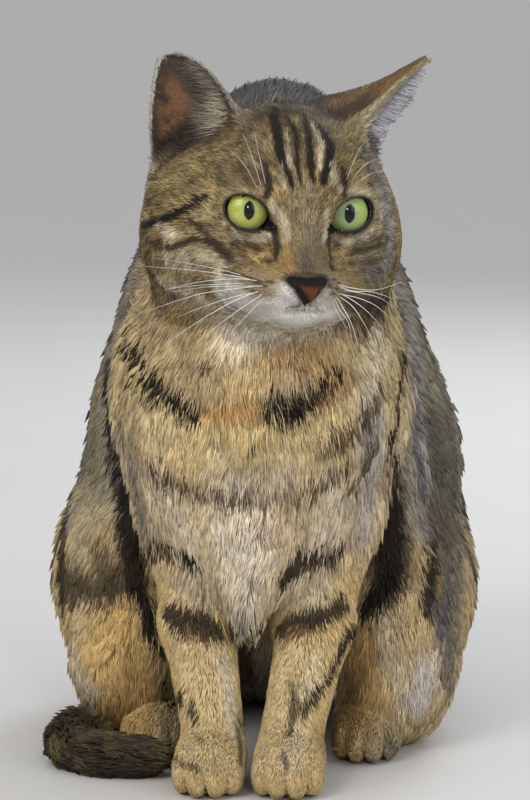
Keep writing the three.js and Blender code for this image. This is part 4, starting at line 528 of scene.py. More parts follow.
    ("cheek cream", "cream", 0.80, 1.3, [(-37.6, -68.7, 242.4, 1.7), (-33.4, -72.4, 240.7, 2.5), (-29.4, -75.1, 239.7, 2.1)]),
    ("cheek line L1", "soot", 0.85, 0.8, [(43.8, -68.1, 233.0, 1.2), (49.4, -65.4, 233.6, 1.4), (55.0, -60.4, 234.8, 1.3), (58.9, -54.2, 236.8, 1.2)]),
    ("cheek line L2", "umber", 0.80, 0.8, [(45.4, -68.3, 238.0, 1.0), (50.2, -65.3, 236.5, 1.2), (56.6, -58.6, 238.9, 1.2)]),
    ("cheek line L3", "umber", 0.70, 1.0, [(43.9, -69.8, 228.2, 1.4), (51.0, -62.9, 228.4, 1.8), (57.3, -55.0, 229.4, 1.4)]),
    ("side line R", "umber", 0.75, 1.3, [(-44.7, -58.0, 232.3, 1.8), (-43.4, -55.1, 223.6, 2.4), (-38.4, -55.6, 215.2, 2.4), (-30.2, -60.7, 211.6, 2.4)]),
    ("side line R2", "umber", 0.60, 1.7, [(-51.9, -21.3, 205.1, 2.4), (-45.3, -40.6, 198.7, 3.0), (-38.3, -49.8, 193.4, 3.0)]),
    ("pad dot R", "umber", 0.95, 0.7, [(-8.1, -81.1, 226.4, 0.7), (-6.4, -82.2, 225.9, 0.6)]),
    ("pad dot R", "umber", 0.95, 0.7, [(-2.9, -84.9, 225.5, 0.7), (-1.1, -86.6, 225.1, 0.6)]),
    ("pad dot R", "umber", 0.95, 0.7, [(2.1, -89.6, 224.4, 0.7), (3.8, -90.9, 224.0, 0.6)]),
    ("pad dot R", "umber", 0.95, 0.7, [(6.0, -92.4, 223.1, 0.7), (7.7, -93.1, 222.6, 0.6)]),
    ("pad dot R", "umber", 0.95, 0.7, [(0.6, -91.3, 220.9, 0.7), (2.3, -92.4, 220.4, 0.6)]),
    ("pad dot R", "umber", 0.95, 0.7, [(4.8, -93.8, 219.5, 0.7), (6.5, -94.3, 219.0, 0.6)]),
    ("pad dot R", "umber", 0.95, 0.7, [(8.5, -93.8, 221.6, 0.7), (10.2, -94.2, 221.1, 0.6)]),
    ("pad dot R", "umber", 0.95, 0.7, [(10.9, -92.7, 223.1, 0.7), (12.5, -93.0, 222.6, 0.6)]),
    ("pad row R", "umber", 0.70, 0.6, [(-9.9, -80.3, 226.3, 0.6), (-2.0, -85.9, 225.2, 0.7), (5.1, -91.8, 223.4, 0.8), (10.1, -93.1, 222.8, 0.6)]),
    ("pad dot L", "umber", 0.95, 0.6, [(36.2, -86.6, 222.7, 0.8)]),
    ("pad dot L", "umber", 0.95, 0.6, [(38.1, -84.1, 223.7, 0.8)]),
    ("pad dot L", "umber", 0.95, 0.6, [(40.1, -84.4, 222.1, 0.8)]),
    ("pad dot L", "umber", 0.95, 0.6, [(37.0, -87.2, 220.3, 0.8)]),
    ("pad dot L", "umber", 0.95, 0.6, [(39.4, -86.4, 219.9, 0.8)]),
    ("pad dot L", "umber", 0.95, 0.6, [(37.9, -87.4, 217.5, 0.8)]),
    ("pad dot L", "umber", 0.95, 0.6, [(40.7, -86.4, 217.8, 0.8)]),
    ("pad dot L", "umber", 0.95, 0.6, [(35.9, -88.1, 217.5, 0.8)]),
]
# whiskers: points in mm, radius at the root
WHISKERS = [
    ([(8.3, -90.6, 222.8), (-1.9, -95.8, 224.2), (-16.9, -92.2, 222.5), (-32.4, -85.8, 218.4)], 0.26),
    ([(6.7, -91.7, 220.9), (-3.2, -99.1, 220.4), (-18.2, -95.6, 217.5), (-37.7, -90.1, 210.6)], 0.30),
    ([(8.4, -92.7, 219.4), (-1.4, -101.5, 216.2), (-14.4, -101.5, 208.8), (-28.5, -100.0, 199.1)], 0.30),
    ([(5.3, -89.4, 223.1), (-5.4, -93.4, 225.5), (-21.4, -88.4, 227.0), (-43.0, -79.9, 227.6)], 0.24),
    ([(9.3, -93.0, 218.2), (2.7, -101.6, 214.2), (-7.0, -102.4, 207.3), (-17.5, -103.4, 198.8)], 0.24),
    ([(3.3, -89.6, 221.5), (-6.6, -93.9, 221.9), (-20.6, -88.1, 220.4), (-30.8, -85.1, 218.8)], 0.22),
    ([(5.9, -92.1, 218.5), (-4.0, -99.7, 216.8), (-16.5, -97.3, 212.4), (-26.7, -93.7, 207.8)], 0.22),
    ([(2.2, -85.9, 224.0), (-8.3, -87.8, 227.0), (-23.7, -81.6, 229.2), (-38.6, -74.5, 230.5)], 0.18),
    ([(10.8, -92.2, 221.0), (0.1, -100.5, 221.8), (-13.8, -98.7, 221.1), (-28.3, -93.1, 218.4)], 0.22),
    ([(10.1, -93.0, 217.0), (5.1, -101.6, 212.2), (-0.5, -102.9, 206.2), (-5.3, -103.0, 200.9)], 0.18),
    ([(38.9, -84.1, 220.4), (45.0, -91.4, 219.2), (52.9, -86.8, 218.4), (61.6, -78.5, 214.7)], 0.28),
    ([(38.0, -84.0, 221.2), (45.0, -91.1, 220.4), (54.4, -84.5, 219.0), (64.7, -75.3, 221.4)], 0.26),
    ([(38.9, -85.1, 218.0), (45.1, -93.5, 215.8), (51.5, -91.7, 210.7), (57.9, -87.3, 202.9)], 0.28),
    ([(38.1, -85.5, 216.4), (41.6, -95.4, 212.7), (45.3, -96.1, 205.8), (48.1, -95.3, 195.6)], 0.30),
    ([(37.3, -85.7, 216.0), (40.4, -96.7, 212.0), (43.7, -97.1, 207.2), (45.3, -96.9, 200.6)], 0.26),
    ([(39.7, -84.8, 217.2), (47.5, -91.9, 216.4), (54.6, -87.8, 212.8), (61.0, -82.1, 206.4)], 0.26),
    ([(39.3, -85.0, 216.4), (45.2, -94.5, 213.4), (49.2, -94.0, 207.7), (53.2, -91.7, 200.1)], 0.28),
    ([(40.1, -84.2, 218.8), (48.1, -89.2, 218.2), (56.0, -82.9, 215.5), (62.4, -76.1, 210.3)], 0.22),
    ([(36.5, -85.8, 215.2), (39.3, -97.7, 211.3), (41.7, -98.1, 207.3), (43.4, -98.4, 204.1)], 0.20),
    ([(7.5, -80.8, 260.0), (6.0, -87.6, 267.0), (3.6, -87.7, 274.3), (-0.0, -83.9, 282.2)], 0.17),
    ([(9.1, -80.7, 260.8), (8.0, -87.2, 268.6), (6.3, -86.3, 275.9), (4.4, -82.5, 283.0)], 0.16),
    ([(5.9, -81.0, 259.2), (4.0, -87.9, 264.6), (0.4, -89.4, 270.8), (-4.9, -89.0, 276.0)], 0.15),
    ([(42.8, -69.0, 261.0), (46.5, -75.5, 266.5), (50.4, -72.7, 270.0), (57.4, -63.7, 272.4)], 0.17),
    ([(41.2, -70.0, 261.9), (44.0, -76.3, 269.0), (46.4, -74.3, 274.6), (49.3, -68.3, 280.0)], 0.16),
    ([(44.4, -67.9, 260.1), (48.8, -73.6, 263.9), (53.5, -67.9, 266.0), (59.8, -59.3, 266.3)], 0.14),
]

# ------------------------------------------------------------------ markings: colour in linear light, laid down in this order
def rgb(*c): return np.array(c, F4)
def mix(a, b, t):
    t = np.asarray(t, F4)
    return a + (b - a) * (t[..., None] if np.ndim(t) else t)
def weights(P, r, soft=4.0):
    m = np.minimum.reduce([r[k] for k in REGIONS])
    W = {k: np.exp(-np.maximum(r[k] - m, 0) / soft) for k in REGIONS}
    t = sum(W.values())
    return {k: W[k] / t for k in REGIONS}
def ear_face(P, N, side):
    """1 on the inner face of the ear, 0 on its back"""
    lat, vv, w = ear_local(P, side)
    ax = EARS[side][3]
    return step(-0.15, 0.35, N[:, 0] * ax[0] + N[:, 1] * ax[1] + N[:, 2] * ax[2])
def ground(P, N, W):
    """Coat colour before the marks: each region's own, with the stripes that run round the back and sides."""
    h = to_head(P); n1 = fbm(P, 38, 3); n2 = fbm(P, 11, 9)
    C = np.zeros((len(P[0]), 3), F4)
    head = mix(rgb(.256, .188, .088), rgb(.16, .135, .090), step(0, 30, h[1]))
    head = mix(head, rgb(.115, .088, .055), step(14, 30, h[2]) * step(-16, 0, h[1]))
    head = mix(head, rgb(.060, .058, .062), step(-2, 16, h[1]) * step(12, 30, h[2]))
    bars = step(0.25, 0.75, np.sin((h[1] * 0.6 + h[2] * 0.5 + 9 * n1) * 0.42))
    head = mix(head, rgb(.05, .042, .035), bars * step(6, 22, h[1]) * 0.75)
    head = mix(head, rgb(.48, .42, .32), step(-35, -41, h[2]) * step(-6, -20, h[1]) * step(34, 20, np.abs(h[0])))
    neck = mix(rgb(.34, .262, .140), rgb(.165, .15, .13), step(-8, 30, P[1] - 26 * step(10, -20, P[0])))
    neck = mix(neck, rgb(.088, .083, .087), step(216, 254, P[2]) * step(-12, 8, P[1]) * 0.9)
    ring = step(0.1, 0.7, np.sin((P[2] * 0.9 + P[1] * 0.35 + 12 * n1) * 0.235))
    neck = mix(neck, rgb(.045, .038, .032), ring * step(5, 30, P[1]) * 0.8)
    spine = step(13, 5, np.abs(P[0] + 3 + 6 * (n1 - .5))) * step(20, 50, P[1]) * step(-0.1, 0.35, N[:, 1])
    neck = mix(neck, rgb(.03, .027, .026), spine)
    side = mix(rgb(.385, .305, .195), mix(rgb(.235, .205, .150), rgb(.15, .135, .12), step(60, 120, P[1])), step(-5, 30, P[1]))
    bar = step(-0.05, 0.55, np.sin((P[1] * 1.0 - P[2] * 0.28 + 26 * n1 + 6 * n2) * 0.205))
    side = mix(side, rgb(.035, .030, .028), bar * step(52, 80, P[1]) * 0.9)
    side = mix(side, rgb(.092, .084, .080), step(52, 10, np.abs(P[0] + 3)) * step(30, 70, P[1]) * step(150, 215, P[2]) * 0.75)
    side = mix(side, rgb(.028, .025, .024), spine)
    side = mix(side, rgb(.38, .31, .20), step(70, 45, P[2]) * step(60, 20, P[1]) * 0.8)
    leg = rgb(.44, .325, .152) + np.zeros_like(C)
    lb = step(0.2, 0.7, np.sin((P[2] + 5 * n1) * 0.25)) * step(-22, 4, P[1])
    leg = mix(leg, rgb(.07, .055, .035), lb * 0.8)
    thigh = mix(rgb(.34, .255, .135), rgb(.22, .19, .145), step(58, 105, P[1]))
    tb = step(0.1, 0.65, np.sin((P[1] * 0.75 + P[2] * 0.55 + 22 * n1) * 0.2))
    thigh = mix(thigh, rgb(.045, .037, .03), tb * step(72, 95, P[1] + 0.35 * P[2]) * 0.85)
    W = dict(W); tail = rgb(.040, .030, .022) + np.zeros_like(C)
    _, arc, _ = f_tail(P, True)
    tail = mix(tail, rgb(.105, .085, .044), step(0.55, 0.95, np.sin(arc * 0.235 + 1.2 + 3 * n2)) * step(330, 290, arc) * 0.6)
    # olive patches at random on the black tail: partly olive hair, partly painted glints of light on the dark hair
    tail = mix(tail, rgb(.20, .165, .062), step(0.50, 0.72, n2) * 0.5)
    pick = {"head": head, "neck": neck, "trunk": side, "leg": leg, "paw": rgb(.47, .345, .168), "thigh": thigh, "hind": rgb(.33, .26, .155), "tail": tail}
    for k, c in pick.items(): C += W[k][:, None] * c
    for k, s in (("earR", -1), ("earL", 1)):
        lat, vv, w = ear_local(P, s); tt, hw, ws = ear_sheet(lat, vv)
        back = mix(rgb(.205, .118, .052), rgb(.085, .055, .034), step(16, 0, vv)) if s > 0 else mix(rgb(.21, .15, .085), rgb(.07, .06, .05), step(16, 0, vv))
        back = mix(back, rgb(.05, .04, .035), step(-0.2, 0.6, lat / 12) * step(20, 6, vv) * 0.6)
        lr = lat / hw; deep = step(0.95, 0.25, np.abs(lr + 0.25)) * step(38, 22, vv)
        n3 = fbm(P, 6.5, 33); inner = mix(rgb(.085, .050, .036), rgb(.31, .145, .058), deep * step(0.40, 0.60, n3))
        inner = mix(inner, rgb(.27, .17, .15), step(0.30, 0.0, np.abs(lr - 0.02)) * step(26, 14, vv) * step(4, 10, vv) * 0.6)
        inner = mix(inner, rgb(.085, .065, .052), step(-0.1, 0.35, lr))
        # near-black at the bottom of the inner ear and along the inside of its outer edge: painted shade in the hollow
        # of the ear
        inner = mix(inner, rgb(.035, .024, .018), np.maximum(step(13, 3, vv), step(-0.72, -0.95, lr) * step(34, 20, vv)))
        if s > 0: inner = mix(inner, rgb(.36, .345, .34), 0.7)
        c = mix(back, inner, ear_face(P, N, s))
        rim = step(1.2, 0.2, np.minimum(hw - np.abs(lat), (EAR_H - vv) * 1.2)) * (1.0 if s < 0 else step(-2, 2, lat))
        c = mix(c, rgb(.47, .41, .34) if s < 0 else rgb(.46, .40, .25), rim * 0.85)
        C += W[k][:, None] * c
    return C
def add_marks(P, C, rough=1.0):
    wob = [1.3 * rough * (vnoise(P, 3.2, 40 + i) - 0.5) + 2.0 * rough * (vnoise(P, 9.0, 50 + i) - 0.5) for i in range(3)]
    Q = [P[i] + wob[i] for i in range(3)]
    X = np.stack(Q, 1)
    for name, col, alpha, soft, pts in MARKS:
        pts = np.asarray(pts); rmax = pts[:, 3].max() + soft + 0.5
        lo = pts[:, :3].min(0) - rmax; hi = pts[:, :3].max(0) + rmax
        m = np.flatnonzero(((X > lo) & (X < hi)).all(1))
        if not len(m): continue
        q = (X[m, 0], X[m, 1], X[m, 2])
        if len(pts) == 1: d = limb(q, pts[0], pts[0] + V(0.01, 0, 0, 0), pts[0, 3], pts[0, 3])
        else:
            d = None
            for a, b in zip(pts[:-1], pts[1:]):
                e = limb(q, a[:3], b[:3], a[3], b[3])
                d = e if d is None else np.minimum(d, e)
        t = alpha * step(soft, -soft * 0.6, d)
        C[m] = mix(C[m], rgb(*TONES[col]), t)
    return C
def eye_ring(P, C):
    """the black edge of the lids, and the dark skin at the inner corner"""
    h = to_head(P); a, b, c = eye_local((np.abs(h[0]), h[1], h[2]))
    d = almond(a, b)
    t = step(1.7, 0.8, d + 0.35 * (vnoise(P, 1.3, 71) - 0.5)) * step(-2, 1, c)
    return mix(C, rgb(.014, .010, .009), t * 0.97)
def nose_ring(P, C, k=1.0):
    h = to_head(P); d = f_nose(h)
    C = mix(C, rgb(.045, .035, .030), step(2.6, 0.3, d) * step(-29, -22, h[2]) * 0.8)
    C = mix(C, rgb(.030, .023, .020), step(0.95, 0.45, d) * 0.85 * k)
    return mix(C, rgb(.030, .021, .019), step(1.0, 0.4, lips(h)) * 0.92 * k * step(13, 6, np.abs(h[0])))
GAIN = {"head": 0.94, "neck": 1.62, "trunk": 1.68, "leg": 1.44, "paw": 1.25, "thigh": 1.52, "hind": 1.12, "tail": 1.0, "earR": 1.0, "earL": 1.0}  # long hair shades itself, so its own colour is lighter than it looks
def coat_colour(P, N, W, rough=1.0, mouth=1.0):
    G = ground(P, N, W); C = mix(add_marks(P, G.copy(), rough), G, step(0.3, 0.8, W["tail"]))
    C = nose_ring(P, eye_ring(P, C), mouth)
    lum = C @ rgb(.3, .6, .1); g = sum(W[k] * GAIN[k] for k in REGIONS)
    g = g - (W["neck"] + W["trunk"]) * 0.55 * np.maximum(step(18, 62, P[1]), step(232, 250, P[2]) * step(-10, 10, P[1]))
    C = C * (1 + (g - 1) * step(0.05, 0.16, lum))[:, None]
    return C * np.minimum(1, 0.80 / (C.max(1) + 1e-6))[:, None]

# ------------------------------------------------------------------ lie of the coat
def lie(P, N, W, r):
    """the way the hair lies at each point: unit vectors along the surface"""
    n = len(P[0]); h = to_head(P); T = np.zeros((n, 3))
    q = np.stack([h[0], h[1] + 54, h[2] + 25], 1); L = np.linalg.norm(q, axis=1); q /= L[:, None] + 1e-6
    far = step(26, 80, L)[:, None]
    low = step(2, -22, h[2])
    back = np.stack([0.30 * np.sign(h[0]) * step(8, 30, np.abs(h[0])), 1.0 + 0 * L, -0.25 - 1.3 * low], 1)
    T += W["head"][:, None] * (((1 - far) * q + far * back) @ HM.T)
    front = step(10, -25, P[1])
    crest = step(0.05, 0.6, N[:, 2]) * step(-30, -5, P[1])
    T += W["neck"][:, None] * np.stack([0.010 * P[0] * front, 0.42 - 0.35 * front + 0.9 * crest, -1.0 + 1.15 * crest], 1)
    T += W["trunk"][:, None] * np.stack([-0.006 * P[0] * front, 0.5 - 0.45 * front, -1.0 + 0 * L], 1)
    T += W["leg"][:, None] * np.stack([0.004 * P[0], 0.10 + 0 * L, -1.0 + 0 * L], 1)
    T += W["paw"][:, None] * np.stack([0 * L, -1.0 + 0 * L, -0.30 - 0.8 * step(-62, -72, P[1])], 1)
    T += W["thigh"][:, None] * np.stack([0.10 * np.sign(P[0]) * step(90, 60, P[2]), 0.30 - 0.55 * step(75, 35, P[1]), -1.0 + 0 * L], 1)
    T += W["hind"][:, None] * np.stack([0 * L, -1.0 + 0 * L, -0.25 + 0 * L], 1)
    _, arc, way = f_tail(P, True)
    T += W["tail"][:, None] * way.T
    for k, s in (("earR", -1), ("earL", 1)):
        b, u, v, w = EARS[s]; inn = ear_face(P, N, s)[:, None]
        lat = ear_local(P, s)[0]
        T += W[k][:, None] * ((1 - inn) * (v + 0.012 * lat[:, None] * u) + inn * (-0.75 * u + 0.75 * v))
    T += 0.42 * np.stack([fbm(P, 24, 60 + i, 2) - 0.5 for i in range(3)], 1)
    T -= N * (T * N).sum(1)[:, None]
    return T / (np.linalg.norm(T, axis=1)[:, None] + 1e-9)
#            length  width  lift  per mm2  lock   pull  loose
COAT = {"head": (5.4, .22, .70, 5.50, 4.0, .08, .15), "neck": (10.5, .30, .74, 1.75, 6.5, .20, .13), "trunk": (10.0, .36, .70, 1.20, 6.5, .18, .12),
        "leg": (6.2, .30, .72, 2.30, 5.0, .15, .12), "paw": (3.4, .24, .70, 3.3, 3.0, .12, .12), "thigh": (9.5, .34, .72, 1.45, 6.0, .17, .13),
        "hind": (4.2, .30, .74, 1.8, 3.5, .14, .12), "tail": (9.5, .44, .86, 1.15, 6.0, .26, .18), "earR": (3.2, .32, .9, 2.6, 2.5, .15, .14), "earL": (3.2, .32, .9, 2.6, 2.5, .15, .14)}
def coat_numbers(P, W):
    A = sum(W[k][:, None] * np.array(COAT[k])[None] for k in REGIONS)
    h = to_head(P)
    near = W["head"] * step(-12, -34, h[1]); muz = W["head"] * step(-30, -44, h[1])
    ruff = W["head"] * step(6, 26, h[1]) + W["head"] * 0.7 * step(-30, -44, h[2]) * step(-44, -20, h[1])
    ruff = np.clip(ruff, 0, 1)
    A[:, 0] += -1.2 * near - 1.0 * muz + 4.0 * ruff
    A[:, 1] += -0.02 * near - 0.02 * muz + 0.06 * ruff
    A[:, 3] += 2.6 * near + 1.6 * muz - 3.3 * ruff
    behind = (W["trunk"] + W["neck"] + W["thigh"]) * step(25, 75, P[1])
    A[:, 1] *= 1 + 0.34 * behind; A[:, 3] *= 1 - 0.40 * behind
    A[:, 4] += -0.8 * near + 3.0 * ruff
    A[:, 6] += -0.04 * near
    ea, eb, ec = eye_local((np.abs(h[0]), h[1], h[2]))
    A[:, 0] *= 1 - 0.5 * W["head"] * step(6.0, 1.5, almond(ea, eb)) * step(-2, 2, ec)
    over = h[2] - np.interp(np.abs(h[0]), [p[0] for p in LIP], [p[1] for p in LIP])
    A[:, 0] *= 1 - 0.62 * W["head"] * step(3.6, 0.4, over) * step(-1.0, 0.2, over) * step(12, 7, np.abs(h[0])) * step(-34, -42, h[1])
    return A

# ------------------------------------------------------------------ the skin
LO, HI = V(-106, -112, -6), V(106, 186, 322)
def axis_steps(lo, hi, zones):
    """positions along one axis, with its own step in each zone: (from, step)"""
    out = [lo]
    while out[-1] < hi:
        x = out[-1]; s = zones[0][1]; nxt = None
        for a, b in zones:
            if x >= a: s = b
        out.append(x + s)
    return np.array(out)
def graded_mesh(f, axes, B=8, safety=1.5):
    n = [int(math.ceil(len(a) / B)) for a in axes]
    ax = []
    for a, k in zip(axes, n):
        d = a[-1] - a[-2]
        ax.append(np.concatenate([a, a[-1] + d * np.arange(1, k * B - len(a) + 1)]))
    c = [a.reshape(-1, B).mean(1) for a in ax]
    X, Y, Z = np.meshgrid(*[a.astype(F4) for a in c], indexing="ij")
    Fc = f((X, Y, Z))
    ext = [a.reshape(-1, B)[:, -1] - a.reshape(-1, B)[:, 0] + (a.reshape(-1, B)[:, 1] - a.reshape(-1, B)[:, 0]) for a in ax]
    reach = np.sqrt(ext[0][:, None, None] ** 2 + ext[1][None, :, None] ** 2 + ext[2][None, None, :] ** 2) * 0.5 * safety + 3.0
    act = np.argwhere(np.abs(Fc) < reach)
    cl = 4.0
    G = np.repeat(np.repeat(np.repeat(np.sign(Fc).astype(F4) * cl, B, 0), B, 1), B, 2)
    off = np.stack(np.meshgrid(*[np.arange(B)] * 3, indexing="ij"), -1).reshape(-1, 3)
    for i in range(0, len(act), 1200):
        idx = (act[i:i + 1200, None, :] * B + off[None]).reshape(-1, 3)
        P = tuple(ax[k][idx[:, k]].astype(F4) for k in range(3))
        G[idx[:, 0], idx[:, 1], idx[:, 2]] = np.clip(f(P), -cl, cl)
    g = openvdb.FloatGrid(cl); g.copyFromArray(G)
    pts, quads = g.convertToQuads(0.0)
    pts = np.asarray(pts, float)
    out = np.stack([np.interp(pts[:, k], np.arange(len(ax[k])), ax[k]) for k in range(3)], 1)
    return out, np.asarray(quads)[:, ::-1].astype(int)
import time
T0 = time.time()
def say(*a): print("[cat]", round(time.time() - T0, 1), *a, flush=True)
AX = [axis_steps(LO[0], HI[0], [(-1e9, 1.35)]), axis_steps(LO[1], HI[1], [(-1e9, 1.15), (12, 2.3)]), axis_steps(LO[2], HI[2], [(-1e9, 2.2), (196, 1.1)])]
SV, SQ = graded_mesh(lambda P: skin(P), AX)
say("skin", len(SV), len(SQ))

def weld_largest(verts, quads):
    """keeps only the one big shell"""
    n = len(verts); lab = np.arange(n)
    for _ in range(200):
        m = lab[quads].min(1); new = lab.copy()
        np.minimum.at(new, quads.ravel(), np.repeat(m, quads.shape[1]))
        new = new[new]
        if (new == lab).all(): break
        lab = new
    vals, cnt = np.unique(lab[quads[:, 0]], return_counts=True)
    keep = lab[quads[:, 0]] == vals[cnt.argmax()]
    q = quads[keep]; used = np.unique(q); re = -np.ones(n, int); re[used] = np.arange(len(used))
    return verts[used], re[q]
SV, SQ = weld_largest(SV, SQ)
def outward(v, q):
    """turns the faces round where they look inwards"""
    a, b, c = v[q[:, 0]], v[q[:, 1]], v[q[:, 2]]
    return q if (np.cross(a, b) * c).sum() > 0 else q[:, ::-1]
SV_C = SV.mean(0)
SQ = outward(SV - SV_C, SQ)
say("one shell", len(SV))

def refine(verts, quads, pick, levels):
    bm = bmesh.new(); me = bpy.data.meshes.new("tmp")
    me.from_pydata(verts.tolist(), [], quads.tolist()); bm.from_mesh(me); bpy.data.meshes.remove(me)
    for lev in range(levels):
        bm.verts.ensure_lookup_table(); bm.edges.ensure_lookup_table()
        co = np.array([v.co[:] for v in bm.verts]); m = pick(co, lev)
        es = [e for e in bm.edges if m[e.verts[0].index] and m[e.verts[1].index]]
        bmesh.ops.subdivide_edges(bm, edges=es, cuts=1, use_grid_fill=True)
        bm.verts.index_update()
    bmesh.ops.triangulate(bm, faces=bm.faces[:], quad_method="SHORT_EDGE")
    bm.verts.ensure_lookup_table()
    v = np.array([x.co[:] for x in bm.verts]); t = np.array([[w.index for w in f.verts] for f in bm.faces]); bm.free()
    return v, t
def face_area(co, lev):
    P = (co[:, 0], co[:, 1], co[:, 2]); h = to_head(P); S = (np.abs(h[0]), h[1], h[2])
    a, b, c = eye_local(S)
    eye = (np.sqrt((a + 1.5) ** 2 + b ** 2) < (15.5 if lev == 0 else 12.5)) & (c > 0) & (almond(a, b) > -4.5)
    mouth = ell(S, (6, -50, -34), (16, 10, 12)) < (3 if lev == 0 else 0)
    return eye | mouth
SV, ST = refine(SV, SQ, face_area, 2)
near = face_area(SV, 0)
SV[near] = newton(lambda P: skin(P), SV[near], 3)
say("refined", len(SV), len(ST))
def vertex_normals(v, t):
    fn = np.cross(v[t[:, 1]] - v[t[:, 0]], v[t[:, 2]] - v[t[:, 0]])
    n = np.zeros_like(v)
    for k in range(3): np.add.at(n, t[:, k], fn)
    return n / (np.linalg.norm(n, axis=1)[:, None] + 1e-12), np.linalg.norm(fn, axis=1) * 0.5
SN, SA = vertex_normals(SV, ST)
SP = tuple(SV[:, i].astype(F4) for i in range(3))
SR = parts(SP); SW = weights(SP, SR)
SC = coat_colour(SP, SN, SW)
SD = coat_depth(SP, SR)
ST_LIE = lie(SP, SN, SW, SR)
say("skin data")
H = to_head(SP); EA, EB, EC = eye_local((np.abs(H[0]), H[1], H[2]))
bare = ((almond(EA, EB) < np.where(EA < -3, 1.5, 0.95)) & (EC > 0)) | (f_nose(H) < 0.7) | (SP[2] < 0.9)
bare |= (lips(H) < 0.85) & (H[1] < -40)
inner = sum(SW[k] * ear_face(SP, SN, s) for k, s in (("earR", -1), ("earL", 1)))
NUM = coat_numbers(SP, SW)
NUM[:, 3] *= 0.95 * np.where(bare, 0, 1) * (1 - 0.85 * inner) * step(0.5, 3.0, SP[2])
for k, s in (("earR", -1), ("earL", 1)): NUM[:, 3] *= 1 - SW[k] * step(EAR_H - 5.5, EAR_H - 2.0, ear_local(SP, s)[1])

# ------------------------------------------------------------------ materials
def material(name, base=None, rough=0.55, attr=True, noise=(220, 0.16), bump=(900, 0.12, 0.0004), **sockets):
    m = bpy.data.materials.new(name); m.use_nodes = True
    nt = m.node_tree; N = nt.nodes; L = nt.links; N.clear()
    out = N.new("ShaderNodeOutputMaterial"); bs = N.new("ShaderNodeBsdfPrincipled"); L.new(bs.outputs[0], out.inputs[0])
    tc = N.new("ShaderNodeTexCoord")
    nz = N.new("ShaderNodeTexNoise"); nz.inputs["Scale"].default_value = noise[0]; nz.inputs["Detail"].default_value = 3
    L.new(tc.outputs["Object"], nz.inputs["Vector"])
    mr = N.new("ShaderNodeMapRange"); mr.inputs["To Min"].default_value = 1 - noise[1]; mr.inputs["To Max"].default_value = 1 + noise[1]
    L.new(nz.outputs["Fac"], mr.inputs["Value"])
    mul = N.new("ShaderNodeMix"); mul.data_type = "RGBA"; mul.blend_type = "MULTIPLY"; mul.inputs["Factor"].default_value = 1.0
    if attr:
        at = N.new("ShaderNodeAttribute"); at.attribute_name = "Col"; L.new(at.outputs["Color"], mul.inputs["A"])
    else: mul.inputs["A"].default_value = (*base, 1)
    L.new(mr.outputs["Result"], mul.inputs["B"])
    L.new(mul.outputs["Result"], bs.inputs["Base Color"])
    rr = N.new("ShaderNodeMapRange"); rr.inputs["To Min"].default_value = rough - 0.07; rr.inputs["To Max"].default_value = rough + 0.07
    L.new(nz.outputs["Fac"], rr.inputs["Value"]); L.new(rr.outputs["Result"], bs.inputs["Roughness"])
    if bump:
        n2 = N.new("ShaderNodeTexNoise"); n2.inputs["Scale"].default_value = bump[0]; n2.inputs["Detail"].default_value = 2
        L.new(tc.outputs["Object"], n2.inputs["Vector"])
        bp = N.new("ShaderNodeBump"); bp.inputs["Strength"].default_value = bump[1]; bp.inputs["Distance"].default_value = bump[2]
        L.new(n2.outputs["Fac"], bp.inputs["Height"]); L.new(bp.outputs["Normal"], bs.inputs["Normal"])
    for k, v in sockets.items(): bs.inputs[k.replace("_", " ")].default_value = v
    return m
M_SKIN = material("skin_under_coat", rough=0.65, bump=(1400, 0.5, 0.0006))
M_COAT = material("coat_hair", rough=0.66, noise=(300, 0.10), bump=(2500, 0.15, 0.0002), Specular_IOR_Level=0.12)
M_NOSE = material("nose_leather", rough=0.62, noise=(900, 0.22), bump=(1500, 0.6, 0.0005), Specular_IOR_Level=0.10)
M_EYE = material("eye_wet", rough=0.45, noise=(1500, 0.10), bump=None, Coat_Weight=0.62, Coat_Roughness=0.012, Specular_IOR_Level=0.0)
M_RIM = material("lid_edge", rough=0.22, noise=(1200, 0.2), bump=(2500, 0.3, 0.0002), Coat_Weight=0.5, Coat_Roughness=0.1)
M_WHISK = material("whisker", rough=0.35, noise=(500, 0.05), bump=(3000, 0.1, 0.0001))
FLESH = ["head", "ear_left", "ear_right", "neck", "trunk", "foreleg_left", "foreleg_right", "forepaw_left", "forepaw_right", "thigh_left", "thigh_right",
         "hindfoot_left", "hindfoot_right", "tail_base", "tail_middle", "tail_tip"]
def piece(name, verts, faces, cols, mat, smooth=True, nodes=()):
    me = mesh_from(name, verts, faces, smooth)
    colour_points(me, cols); me.materials.append(mat)
    o = link(name, me)
    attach(o, "root")
    if nodes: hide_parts(*nodes)
    return o
# the skin takes the coat's colours darkened to 0.70: painted shade at the roots of the hair
piece("skin", SV, ST, SC * 0.70, M_SKIN, nodes=FLESH)
say("skin piece")

